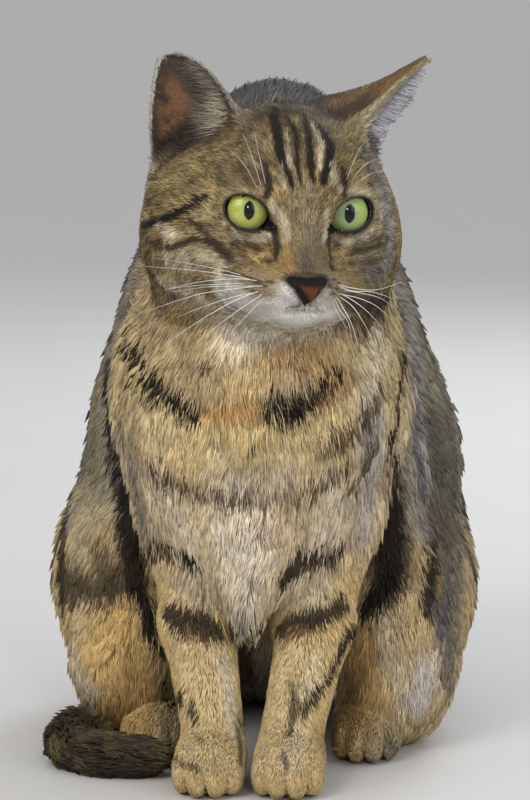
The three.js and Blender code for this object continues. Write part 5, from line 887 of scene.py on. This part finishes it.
# ------------------------------------------------------------------ tufts
def scatter(density):
    d = density[ST].mean(1) * SA
    k = np.floor(d + RNG.random(len(d))).astype(int)
    t = np.repeat(np.arange(len(ST)), k)
    u, v = RNG.random(len(t)), RNG.random(len(t)); f = u + v > 1; u[f], v[f] = 1 - u[f], 1 - v[f]
    return t, np.stack([1 - u - v, u, v], 1)
def carry(arr, t, b):
    a = arr[ST[t]]
    return (a * (b[:, :, None] if a.ndim == 3 else b)).sum(1)
def worley(P, size, seed):
    """the nearest point of a jittered lattice: (vector to it, its number)"""
    q = [p / size for p in P]; fl = [np.floor(a).astype(np.int64) for a in q]
    best = np.full(len(P[0]), 1e9); vec = np.zeros((len(P[0]), 3)); num = np.zeros(len(P[0]))
    for i in (-1, 0, 1):
        for j in (-1, 0, 1):
            for k in (-1, 0, 1):
                c = (fl[0] + i, fl[1] + j, fl[2] + k)
                d = [c[m] + hash3(*c, seed + m) - q[m] for m in range(3)]
                D = d[0] ** 2 + d[1] ** 2 + d[2] ** 2; m = D < best
                best[m] = D[m]; vec[m] = np.stack(d, 1)[m]; num[m] = hash3(*c, seed + 7)[m]
    return vec * (size if np.ndim(size) == 0 else size[:, None]), num
def normed(a): return a / (np.linalg.norm(a, axis=1)[:, None] + 1e-9)
TI, TB = scatter(NUM[:, 3])
say("roots", len(TI))
R = carry(SV, TI, TB); RN = normed(carry(SN, TI, TB)); RT = normed(carry(ST_LIE, TI, TB)); RNUM = carry(NUM, TI, TB); RD = carry(SD, TI, TB)
RW = {k: carry(SW[k], TI, TB) for k in REGIONS}
n = len(R); RP = tuple(R[:, i] for i in range(3))
Ln = RNUM[:, 0] * (0.72 + 0.5 * RNG.random(n)); Wd = RNUM[:, 1] * (0.75 + 0.5 * RNG.random(n))
SIDE = np.cross(RT, RN)
v1, id1 = worley(RP, 4.2, 11); v2, id2 = worley(RP, 9.0, 23)
small = (step(6.5, 4.5, RNUM[:, 4]))[:, None]
cv = v1 * small + v2 * (1 - small); cid = np.where(small[:, 0] > 0.5, id1, id2)
cv -= RN * (cv * RN).sum(1)[:, None]
calm = RW["head"] + 0.9 * (RW["paw"] + RW["hind"]) + 0.55 * RW["leg"]
swing = (cid - 0.5) * 0.55 * (1 - 0.75 * calm) + (RNG.random(n) - 0.5) * 2 * RNUM[:, 6] * 1.6
RT = normed(RT + SIDE * swing[:, None]); SIDE = normed(np.cross(RT, RN))
inner_r = sum(RW[k] * ear_face(RP, RN, s) for k, s in (("earR", -1), ("earL", 1)))
lift = RD * RNUM[:, 2] * (0.62 + 0.30 * (cid * (1 - 0.8 * calm) + 0.4 * calm) + 0.28 * RNG.random(n)) + 0.25
guard = (RNG.random(n) < 0.04) & (RW["neck"] + RW["trunk"] + RW["thigh"] + RW["tail"] > 0.5)
Ln = np.where(guard, Ln * 1.25, Ln); Wd = np.where(guard, Wd * 0.45, Wd); lift = np.where(guard, lift + 0.6 + 1.4 * RNG.random(n), lift)
tip = R + RT * Ln[:, None] + cv * RNUM[:, 5][:, None] + RN * lift[:, None]
mid = R + RT * (Ln * 0.42)[:, None] + cv * (RNUM[:, 5] * 0.30)[:, None] + RN * (lift * 0.85)[:, None]
def settle(X, want):
    """moves points along the roots' normals until they stand at the wanted height over the skin"""
    s = skin((X[:, 0], X[:, 1], X[:, 2]), False)
    return X + RN * np.clip(want - s, -3.5, 3.5)[:, None]
tip = settle(tip, lift); mid = settle(mid, lift * 0.80)
tip[:, 2] = np.maximum(tip[:, 2], 0.25); mid[:, 2] = np.maximum(mid[:, 2], 0.45)
say("tips")
hq = to_head(RP); still = 1 - 0.75 * RW["head"] * step(-30, -42, hq[1])
at = 0.45 * mid + 0.55 * tip + RT * (RNG.normal(0, 0.27, n) * Ln * still)[:, None] + SIDE * (RNG.normal(0, 0.09, n) * Ln * still)[:, None]
AP = tuple(at[:, i].astype(F4) for i in range(3))
AW = RW
CC = coat_colour(AP, RN, AW, 1.0, 0.0)
lum = CC @ rgb(.3, .6, .1)
tick = RNG.random(n)
grey = step(0.03, 0.12, lum)
pep = 0.60 + 0.55 * RW["head"] * step(-50, -40, hq[1]) + 0.15 * RW["neck"]
f_tip = 1 + (np.where(tick < .30, .34, np.where(tick < .62, 1.0, 1.45)) - 1) * pep + 0.2 * (RNG.random(n) - 0.5)
pale = step(0.24, 0.46, lum) * RW["head"]
f_tip = np.maximum(1 + (f_tip - 1) * grey * 0.9 * (1 - 0.65 * pale), 0.2)
fleck = fbm(AP, 2.4, 91, 2) - 0.5; onhead = RW["head"] * step(-46, -36, hq[1])
tone = (1 + 0.30 * (cid - 0.5) * (1 - 0.7 * calm)) * (0.90 + 0.20 * RNG.random(n)) * (1 + (2.1 * onhead + 0.30 * (1 - RW["head"])) * fleck * grey)
c_root = CC * ((0.62 - 0.14 * RW["head"] + 0.34 * pale) * tone)[:, None]; c_mid = CC * (1.05 * tone * (1 + (f_tip - 1) * (0.35 + 0.4 * RW["head"])))[:, None]; c_tip = CC * (1.10 * tone * f_tip)[:, None]
def tuft_piece(name, m, wide=1.0, four=False):
    idx = np.flatnonzero(m); k = len(idx)
    if not k: return
    r = R[idx] - RN[idx] * 0.4; w = (Wd[idx] * 0.5 * wide)[:, None]
    a, s, t = mid[idx], SIDE[idx], tip[idx]
    if four:
        vs = np.stack([r, a - s * w, a + s * w, t], 1); F = np.array([[0, 2, 1], [1, 2, 3], [0, 1, 3], [0, 3, 2]])
        cs = np.stack([c_root[idx], c_mid[idx], c_mid[idx], c_tip[idx]], 1); uvo = np.array([[0, -1], [-1, 0], [1, 0], [0, 1]], float)
    else:
        top = 0.55 * a + 0.45 * t + RN[idx] * (0.5 * w + 0.10 * lift[idx][:, None])
        vs = np.stack([r, a - s * w, a + s * w, top, t], 1); F = np.array([[0, 2, 3], [0, 3, 1], [3, 2, 4], [1, 3, 4], [0, 1, 2], [1, 4, 2]])
        cs = np.stack([c_root[idx], c_mid[idx], c_mid[idx], c_mid[idx] * 0.5 + c_tip[idx] * 0.5, c_tip[idx]], 1); uvo = np.array([[0, -1], [-1, 0], [1, 0], [0, 0.3], [0, 1]], float)
    nv = vs.shape[1]
    faces = (F[None] + (np.arange(k) * nv)[:, None, None]).reshape(-1, 3)
    me = mesh_from(name, vs.reshape(-1, 3), faces, True)
    colour_points(me, cs.reshape(-1, 3))
    if four:
        nr = RN[idx]; jit = (RNG.random(k)[:, None] - 0.5) * 0.5
        nv4 = np.stack([nr, nr - s * 0.55 + s * jit, nr + s * 0.55 + s * jit, nr + 0.35 * RT[idx] + s * jit], 1).reshape(-1, 3)
        me.normals_split_custom_set_from_vertices(normed(nv4).astype(F4))
    # unwrap: round the piece's own axis and along it
    c = r.mean(0); q = r - c; L = np.linalg.norm(q, axis=1) + 1e-6
    if "ear" in name:
        sd = -1 if name.startswith("coat_ear_right") else 1
        lat, vv, ww = ear_local((r[:, 0], r[:, 1], r[:, 2]), sd); inn = ear_face((r[:, 0], r[:, 1], r[:, 2]), RN[idx], sd) > 0.5
        U = lat + np.where(inn, 60, 0); Vv = vv
    elif "tail" in name:
        _, arc, _ = f_tail((r[:, 0], r[:, 1], r[:, 2]), True); Vv = arc
        U = np.arctan2(RN[idx][:, 2], RN[idx][:, 0] * 0.7 + RN[idx][:, 1] * 0.7)
    else:
        U = np.arctan2(q[:, 0], -q[:, 1]); Vv = q[:, 2]
    U = 0.01 + 0.98 * (U - U.min()) / (np.ptp(U) + 1e-9); Vv = 0.01 + 0.98 * (Vv - Vv.min()) / (np.ptp(Vv) + 1e-9)
    uvv = np.stack([U, Vv], 1)[:, None, :] + uvo[None] * 0.0015
    uv = me.uv_layers.new(name="OFBake")
    uv.data.foreach_set("uv", uvv.reshape(-1, 2)[faces.ravel()].astype(F4).ravel())
    me.materials.append(M_COAT)
    o = link(name, me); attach(o, "root")
    say(name, k, "tufts", len(faces), "triangles")
    return o
names = np.array(REGIONS)
own = np.stack([RW[k] for k in REGIONS], 1).argmax(1)
hr = to_head(RP)
left = RP[0] > 0
def reg(*k): return np.isin(own, [REGIONS.index(x) for x in k])
facem = reg("head") & (hr[1] < -4); rest = reg("head") & ~facem
G = [("coat_face_right", facem & (hr[0] < 0), "coat_golden_tabby", True), ("coat_face_left", facem & (hr[0] >= 0), "coat_golden_tabby", True),
     ("coat_head_right", rest & (hr[0] < 0), "coat_golden_tabby", False), ("coat_head_left", rest & (hr[0] >= 0), "coat_golden_tabby", False),
     ("coat_ear_right", reg("earR"), "coat_golden_tabby", True), ("coat_ear_left", reg("earL"), "coat_golden_tabby", True),
     ("coat_neck_right", reg("neck") & ~left, "coat_grey_tabby", False), ("coat_neck_left", reg("neck") & left, "coat_grey_tabby", False),
     ("coat_trunk_right", reg("trunk") & ~left, "coat_grey_tabby", False), ("coat_trunk_left", reg("trunk") & left, "coat_grey_tabby", False),
     ("coat_foreleg_right", reg("leg", "paw") & ~left, "coat_golden_tabby", True), ("coat_foreleg_left", reg("leg", "paw") & left, "coat_golden_tabby", True),
     ("coat_thigh_right", reg("thigh") & ~left, "coat_golden_tabby", False), ("coat_thigh_left", reg("thigh") & left, "coat_golden_tabby", False),
     ("coat_hindfoot_right", reg("hind") & ~left, "coat_golden_tabby", True), ("coat_hindfoot_left", reg("hind") & left, "coat_golden_tabby", True),
     ("coat_tail", reg("tail"), "coat_dark", False)]
for nm, m, sl, four in G: tuft_piece(nm, m, 1.15, True)

# ------------------------------------------------------------------ eyes
GAZE = {-1: unit(V(0.230, -0.970, 0.044)), 1: unit(V(0.252, -0.967, -0.009))}
def eyeball(side):
    c = from_head((side * EYE[0], EYE[1], EYE[2])); g = GAZE[side]
    up = unit(HM[:, 2] - np.dot(HM[:, 2], g) * g); rt = np.cross(g, up) * -1
    ang = np.concatenate([np.linspace(0, 1.12, 84), np.linspace(1.12, math.pi, 30)[1:]]); seg = 120
    th = np.linspace(0, 2 * math.pi, seg, endpoint=False)
    A, B = np.meshgrid(ang[1:-1], th, indexing="ij")
    rr = EYE_R - 0.05 + 0.45 * np.clip(np.cos(A) - 0.72, 0, 1) * 1.6
    pts = c + (np.cos(A) * rr)[..., None] * g + (np.sin(A) * rr)[..., None] * (np.cos(B)[..., None] * rt + np.sin(B)[..., None] * up)
    v = np.vstack([c + g * rr[0, 0], pts.reshape(-1, 3), c - g * EYE_R]); k = len(ang) - 2
    x = np.concatenate([[0], (np.sin(A) * EYE_R * np.cos(B)).ravel(), [0]]); y = np.concatenate([[0], (np.sin(A) * EYE_R * np.sin(B)).ravel(), [0]])
    front = np.concatenate([[1], (A < 1.5).ravel(), [0]])
    rad = np.hypot(x, y); an = np.arctan2(y, x)
    pw, ph = 2.05, 3.95
    d = np.abs(x) - pw * np.clip(1 - (np.abs(y) / ph) ** 3.0, -1, 1)
    fib = 0.5 + 0.5 * np.sin(an * 47 + 3 * np.sin(an * 7) + rad * 0.8); fib2 = 0.5 + 0.5 * np.sin(an * 83 + 2 * np.sin(an * 11 + rad))
    yell = rgb(.44, .48, .11) if side < 0 else rgb(.31, .41, .16)
    inn = rgb(.35, .42, .14) if side < 0 else rgb(.22, .35, .18)
    out = rgb(.36, .39, .09) if side < 0 else rgb(.26, .36, .12)
    col = mix(mix(inn, yell, step(2.6, 4.6, rad)), out, step(5.6, 7.9, rad))
    spots = fbm((x * 1.0, y * 1.0, 0 * x + 5 * side), 2.6, 210, 3); col = mix(col, rgb(.36, .36, .05) if side < 0 else rgb(.24, .38, .25), step(0.48, 0.75, spots) * 0.55)
    if side > 0: col = mix(col, rgb(.40, .46, .09), step(0.5, 6.5, x * side) * 0.5)
    col = col * (0.86 + 0.16 * fib + 0.10 * fib2)[:, None]
    col = mix(col, rgb(.010, .009, .008), step(8.0, 8.7, rad)); col = mix(col, rgb(.018, .014, .012), 1 - front)
    col = mix(col, rgb(.16, .20, .05), step(.75, .15, d) * 0.55)
    col = mix(col, rgb(.004, .004, .005), step(.22, -.12, d) * front)
    F = []
    idx = 1 + np.arange(k * seg).reshape(k, seg); nx = np.roll(idx, -1, 1)
    q = np.stack([idx[:-1], idx[1:], nx[1:], nx[:-1]], -1).reshape(-1, 4)
    tri = np.concatenate([q[:, [0, 1, 2]], q[:, [0, 2, 3]]])
    cap = np.stack([np.zeros(seg, int), idx[0], nx[0]], 1); end = np.stack([np.full(seg, len(v) - 1), nx[-1], idx[-1]], 1)
    tri = np.vstack([tri, cap, end])
    nrm = np.cross(v[tri[0, 1]] - v[tri[0, 0]], v[tri[0, 2]] - v[tri[0, 0]])
    if np.dot(nrm, v[tri[0, 0]] - c) < 0: tri = tri[:, ::-1]
    nm = "eye_left" if side > 0 else "eye_right"
    piece("eyeball_left" if side > 0 else "eyeball_right", v, tri, col, M_EYE, nodes=[nm])
for s in (-1, 1): eyeball(s)

def closed_tube(path, radii, sides=6, name=None):
    path = np.asarray(path, float); n = len(path)
    tan = np.gradient(path, axis=0); tan = normed(tan)
    ref = V(0, 0, 1) if abs(tan[:, 2]).max() < 0.95 else V(1, 0, 0)
    u = normed(np.cross(tan, ref)); w = np.cross(tan, u)
    th = np.linspace(0, 2 * math.pi, sides, endpoint=False)
    ring = path[:, None] + np.asarray(radii)[:, None, None] * (np.cos(th)[None, :, None] * u[:, None] + np.sin(th)[None, :, None] * w[:, None])
    v = ring.reshape(-1, 3); F = []
    for i in range(n - 1):
        for j in range(sides):
            a, b = i * sides + j, i * sides + (j + 1) % sides
            F += [(a, b, b + sides), (a, b + sides, a + sides)]
    for j in range(1, sides - 1): F += [(0, j + 1, j), ((n - 1) * sides, (n - 1) * sides + j, (n - 1) * sides + j + 1)]
    return v, np.array(F)[:, ::-1]
def lid_edge(side):
    th = np.linspace(0, 2 * math.pi, 97)[:-1]; lo = np.zeros(96); hi = np.full(96, 18.0)
    for _ in range(40):
        m = (lo + hi) / 2; f = almond(m * np.cos(th), m * np.sin(th), 0.35); lo = np.where(f < 0, m, lo); hi = np.where(f < 0, hi, m)
    a, b = lo * np.cos(th), lo * np.sin(th)
    c = np.sqrt(np.maximum((EYE_R + 0.45) ** 2 - a * a - b * b, 0)); c = np.where(a < -5, np.maximum(c, 5.2 + 0.0 * a), c)
    p = from_head_n(eye_point(side, a, b, c)); p = np.vstack([p[-1:], p, p[:1]])
    ctr = p[1:-1].mean(0)
    rad = 0.46 + 0 * th
    # closed ring
    q = p[1:-1]; tan = normed(np.roll(q, -1, 0) - np.roll(q, 1, 0)); out = normed(q - ctr); w = normed(np.cross(tan, out)); out = np.cross(w, tan)
    ph = np.linspace(0, 2 * math.pi, 9)[:-1]
    v = (q[:, None] + rad[:, None, None] * (np.cos(ph)[None, :, None] * out[:, None] + np.sin(ph)[None, :, None] * w[:, None])).reshape(-1, 3)
    idx = np.arange(96 * 8).reshape(96, 8); n1 = np.roll(idx, -1, 0); n2 = np.roll(idx, -1, 1); n3 = np.roll(n1, -1, 1)
    tri = np.concatenate([np.stack([idx, n1, n3], -1).reshape(-1, 3), np.stack([idx, n3, n2], -1).reshape(-1, 3)])
    ce = v[tri].mean(1); nr = np.cross(v[tri[:, 1]] - v[tri[:, 0]], v[tri[:, 2]] - v[tri[:, 0]]); base = np.repeat(q, 8, 0)[tri[:, 0]]
    if ((ce - base) * nr).sum(1).mean() < 0: tri = tri[:, ::-1]
    piece("lid_edge_left" if side > 0 else "lid_edge_right", v, tri, np.tile(rgb(.014, .010, .009), (len(v), 1)), M_RIM)
for s in (-1, 1): lid_edge(s)
say("eyes")

# ------------------------------------------------------------------ nose
def nose_field(P): return f_nose(to_head(P)) 
nc = from_head((0, -54, -27.6))
NV, NQ = band_mesh(nose_field, nc - 13, nc + 13, 0.42, "nose")
NV, NQ = weld_largest(NV, NQ); NQ = outward(NV - NV.mean(0), NQ)
nh = to_head((NV[:, 0], NV[:, 1], NV[:, 2]))
brick = step(1.3, -1.1, np.maximum(np.abs(nh[0] - 1.2) * 1.05 - (nh[2] + 32.0) * 0.66, nh[2] + 25.6) + 1.6 * (fbm((NV[:, 0], NV[:, 1], NV[:, 2]), 1.6, 78) - 0.5)) * step(-52.5, -55.5, nh[1])
nostril = limb((np.abs(nh[0]), nh[1], nh[2]), (4.5, -59.5, -27.6), (6.4, -54.0, -27.1), 1.6, 1.3)
NC = mix(mix(rgb(.013, .010, .009), rgb(.118, .038, .019), brick * (0.35 + 0.65 * step(-33.4, -30.0, nh[2])) * (0.75 + 0.5 * fbm((NV[:, 0], NV[:, 1], NV[:, 2]), 2.2, 77))), rgb(.012, .009, .008), step(0.6, -0.2, nostril))
piece("nose_leather", NV, np.concatenate([NQ[:, [0, 1, 2]], NQ[:, [0, 2, 3]]]), NC, M_NOSE, nodes=["nose"])

# ------------------------------------------------------------------ whiskers
def whisker_set(name, items, col):
    VV, FF, UU, k = [], [], [], 0
    for pts, r in items:
        p = spline([tuple(q) + (0,) for q in pts], 7)[:, :3]
        rr = np.linspace(0.8, 0.16, len(p)) * r
        v, f = closed_tube(p, rr, 4)
        VV.append(v); FF.append(f + k); k += len(v)
        c = to_head(tuple(np.asarray(p[0])[:, None])); i = np.arange(len(v))
        UU.append(np.stack([0.5 + float(c[0][0]) / 140 + 0.0015 * (i % 4 / 1.5 - 1), 0.5 + float(c[2][0]) / 140 + 0.0015 * (2 * i / len(v) - 1)], 1))
    v = np.vstack(VV); f = np.vstack(FF); uvv = np.vstack(UU)
    o = piece(name, v, f, np.tile(rgb(*col), (len(v), 1)), M_WHISK)
    o.data.uv_layers.new(name="OFBake"); idx = np.empty(len(o.data.loops), np.int32); o.data.loops.foreach_get("vertex_index", idx)
    o.data.uv_layers["OFBake"].data.foreach_set("uv", uvv[idx].astype(F4).ravel())
whisker_set("whiskers", WHISKERS, (.80, .78, .74))
say("whiskers")

# ------------------------------------------------------------------ long hairs of the ears
def hair_piece(name, roots, dirs, lens, wid, nrm, cols, bend=None):
    k = len(roots); side = normed(np.cross(dirs, nrm)); bend = np.zeros((k, 3)) if bend is None else bend
    m = roots + dirs * (lens * 0.5)[:, None] + bend * 0.3; t = roots + dirs * lens[:, None] + bend
    w = (wid * 0.5)[:, None]; top = m + nrm * w
    vs = np.stack([roots, m - side * w, m + side * w, top, t], 1); F = np.array([[0, 2, 3], [0, 3, 1], [3, 2, 4], [1, 3, 4], [0, 1, 2], [1, 4, 2]])
    cs = np.stack([cols * .7, cols, cols, cols, cols * 1.1], 1)
    faces = (F[None] + (np.arange(k) * 5)[:, None, None]).reshape(-1, 3)
    me = mesh_from(name, vs.reshape(-1, 3), faces, False); colour_points(me, cs.reshape(-1, 3))
    q = roots - roots.mean(0); _, _, B = np.linalg.svd(q[:: max(1, k // 400)], full_matrices=False); U = q @ B[0]; Vv = q @ B[1]
    U = 0.01 + 0.98 * (U - U.min()) / np.ptp(U); Vv = 0.01 + 0.98 * (Vv - Vv.min()) / np.ptp(Vv)
    uvv = np.stack([U, Vv], 1)[:, None] + np.array([[0, -1], [-1, 0], [1, 0], [0, .3], [0, 1]])[None] * 0.0015
    me.uv_layers.new(name="OFBake").data.foreach_set("uv", uvv.reshape(-1, 2)[faces.ravel()].astype(F4).ravel())
    me.materials.append(M_COAT); o = link(name, me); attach(o, "root")
    return o
def ear_hair(side, nm):
    b, u, v, w = EARS[side]; k = 1000 if side < 0 else 2600
    vv = RNG.random(k) ** 1.25 * 34 - 1; hw = ear_sheet(np.zeros(k), vv)[1]; hwm = EAR_W * np.clip(1 - np.clip(vv / EAR_H, 0, 1) ** 1.35, 0, 1) ** 0.9
    hwm = EAR_W * np.sqrt(np.clip(1 - np.clip(vv / EAR_H, 0, 1) ** 2.6, 0, 1))
    s = 0.97 - 0.62 * RNG.random(k) ** 1.4
    lat = s * hwm; ws = ear_sheet(lat, vv)[2]
    root = b + lat[:, None] * u + vv[:, None] * v + (ws + 0.9)[:, None] * w
    d = normed((-0.80 - 0.3 * RNG.random(k))[:, None] * u + (0.05 + 0.55 * RNG.random(k) + 0.012 * vv)[:, None] * v + (0.25 + 0.35 * RNG.random(k) * (1 - np.abs(s)))[:, None] * w)
    if side > 0: d = normed((-0.30 - 0.35 * RNG.random(k))[:, None] * u + (0.05 + 0.55 * RNG.random(k))[:, None] * v + (0.70 + 0.35 * RNG.random(k))[:, None] * w)
    L = (6 + 9 * RNG.random(k)) * (1 - 0.45 * vv / 34)
    nr = normed(np.tile(w, (k, 1)) + 0.3 * u)
    base = rgb(.40, .36, .32) if side < 0 else rgb(.56, .55, .59)
    if side < 0:
        d = normed(d + 0.22 * RNG.normal(0, 1, (k, 3))); L = L * (0.8 + 0.5 * step(16, 5, vv))
        base = mix(rgb(.27, .225, .185), rgb(.56, .49, .37), step(21, 7, vv)) * (0.6 + 0.5 * step(.45, .9, s))[:, None]
    cols = base * (0.50 + 0.7 * RNG.random(k))[:, None]
    hair_piece(nm, root, d, L, np.full(k, 0.16 if side < 0 else 0.22), nr, cols, bend=np.tile(-w * 0.8, (k, 1)))
def ear_rim(side, nm):
    """the short pale hairs along the edge of the ear"""
    b, u, v, w = EARS[side]; k = 1000; vv = 1 + (EAR_H - 2.2) * RNG.random(k); tt = vv / EAR_H
    sg = np.where(RNG.random(k) < (0.5 if side < 0 else 0.0), -1.0, 1.0)
    hw = np.where(sg > 0, EAR_W * np.sqrt(1 - tt ** 2.6), EAR_W * (1 - tt ** 1.35) ** 0.9) - 0.5 * RNG.random(k)
    lat = sg * hw; ws = ear_sheet(lat, vv)[2]
    root = b + lat[:, None] * u + vv[:, None] * v + (ws + 0.9 * (RNG.random(k) - 0.3))[:, None] * w
    d = normed(sg[:, None] * (0.35 + 0.3 * RNG.random(k))[:, None] * u + 0.8 * v + (0.4 * (RNG.random(k) - 0.5))[:, None] * w)
    cols = (rgb(.44, .40, .34) if side < 0 else rgb(.46, .40, .27)) * (0.6 + 0.6 * RNG.random(k))[:, None]
    hair_piece(nm, root, d, 0.9 + 1.1 * RNG.random(k), np.full(k, 0.19), normed(np.tile(w, (k, 1))), cols)
ear_rim(-1, "ear_rim_right"); ear_rim(1, "ear_rim_left")
ear_hair(-1, "ear_hair_right"); ear_hair(1, "ear_hair_left")
say("ear hair")

# ------------------------------------------------------------------ floor, light, camera
bpy.ops.mesh.primitive_plane_add(size=240, location=(0, 0, 0)); floor = bpy.context.object; floor.name = "floor"
bpy.context.scene.view_settings.view_transform = "Standard"
fm = material("studio_floor", base=(.62, .61, .60), attr=False, rough=0.7, noise=(14, 0.03), bump=(60, 0.05, 0.001))
floor.data.materials.append(fm)
world = bpy.data.worlds.new("studio"); bpy.context.scene.world = world; world.use_nodes = True
world.node_tree.nodes["Background"].inputs[0].default_value = (.95, .96, .98, 1); world.node_tree.nodes["Background"].inputs[1].default_value = 0.66
def area(name, loc, aim, size, power, col):
    l = bpy.data.lights.new(name, "AREA"); l.shape = "DISK"; l.size = size; l.energy = power; l.color = col
    o = bpy.data.objects.new(name, l); bpy.context.scene.collection.objects.link(o); o.location = loc
    o.rotation_euler = (Vector(aim) - Vector(loc)).to_track_quat("-Z", "Y").to_euler()
area("key", (-0.75, -1.25, 1.25), (0, 0, .17), 0.9, 13, (1.0, .97, .92))
area("catch", (0.40, -1.55, .70), (0, 0, .25), 0.17, 3.0, (1.0, .985, .96))
area("fill", (1.2, -0.9, 0.7), (0, 0, .17), 1.2, 5, (.88, .93, 1.0))
area("rim", (0.5, 1.3, 1.1), (0, 0, .2), 0.8, 11, (.93, .96, 1.0))
AZ, EL = math.radians(4.5), math.radians(8.0)
back = V(math.sin(AZ) * math.cos(EL), -math.cos(AZ) * math.cos(EL), math.sin(EL)); right = V(math.cos(AZ), math.sin(AZ), 0); up = np.cross(back, right)
C = V(0, 30, 157) + back * 1350
cam = bpy.data.cameras.new("camera"); co = bpy.data.objects.new("camera", cam); bpy.context.scene.collection.objects.link(co)
cam.lens = 3000 * 36 / 800; cam.sensor_width = 36; cam.sensor_fit = "AUTO"; cam.clip_start = 0.05; cam.clip_end = 50
Rm = Matrix(((right[0], up[0], back[0]), (right[1], up[1], back[1]), (right[2], up[2], back[2]))).to_4x4()
co.matrix_world = Matrix.Translation(Vector(to_frame(C))) @ Rm
bpy.context.scene.camera = co

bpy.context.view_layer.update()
say("done")
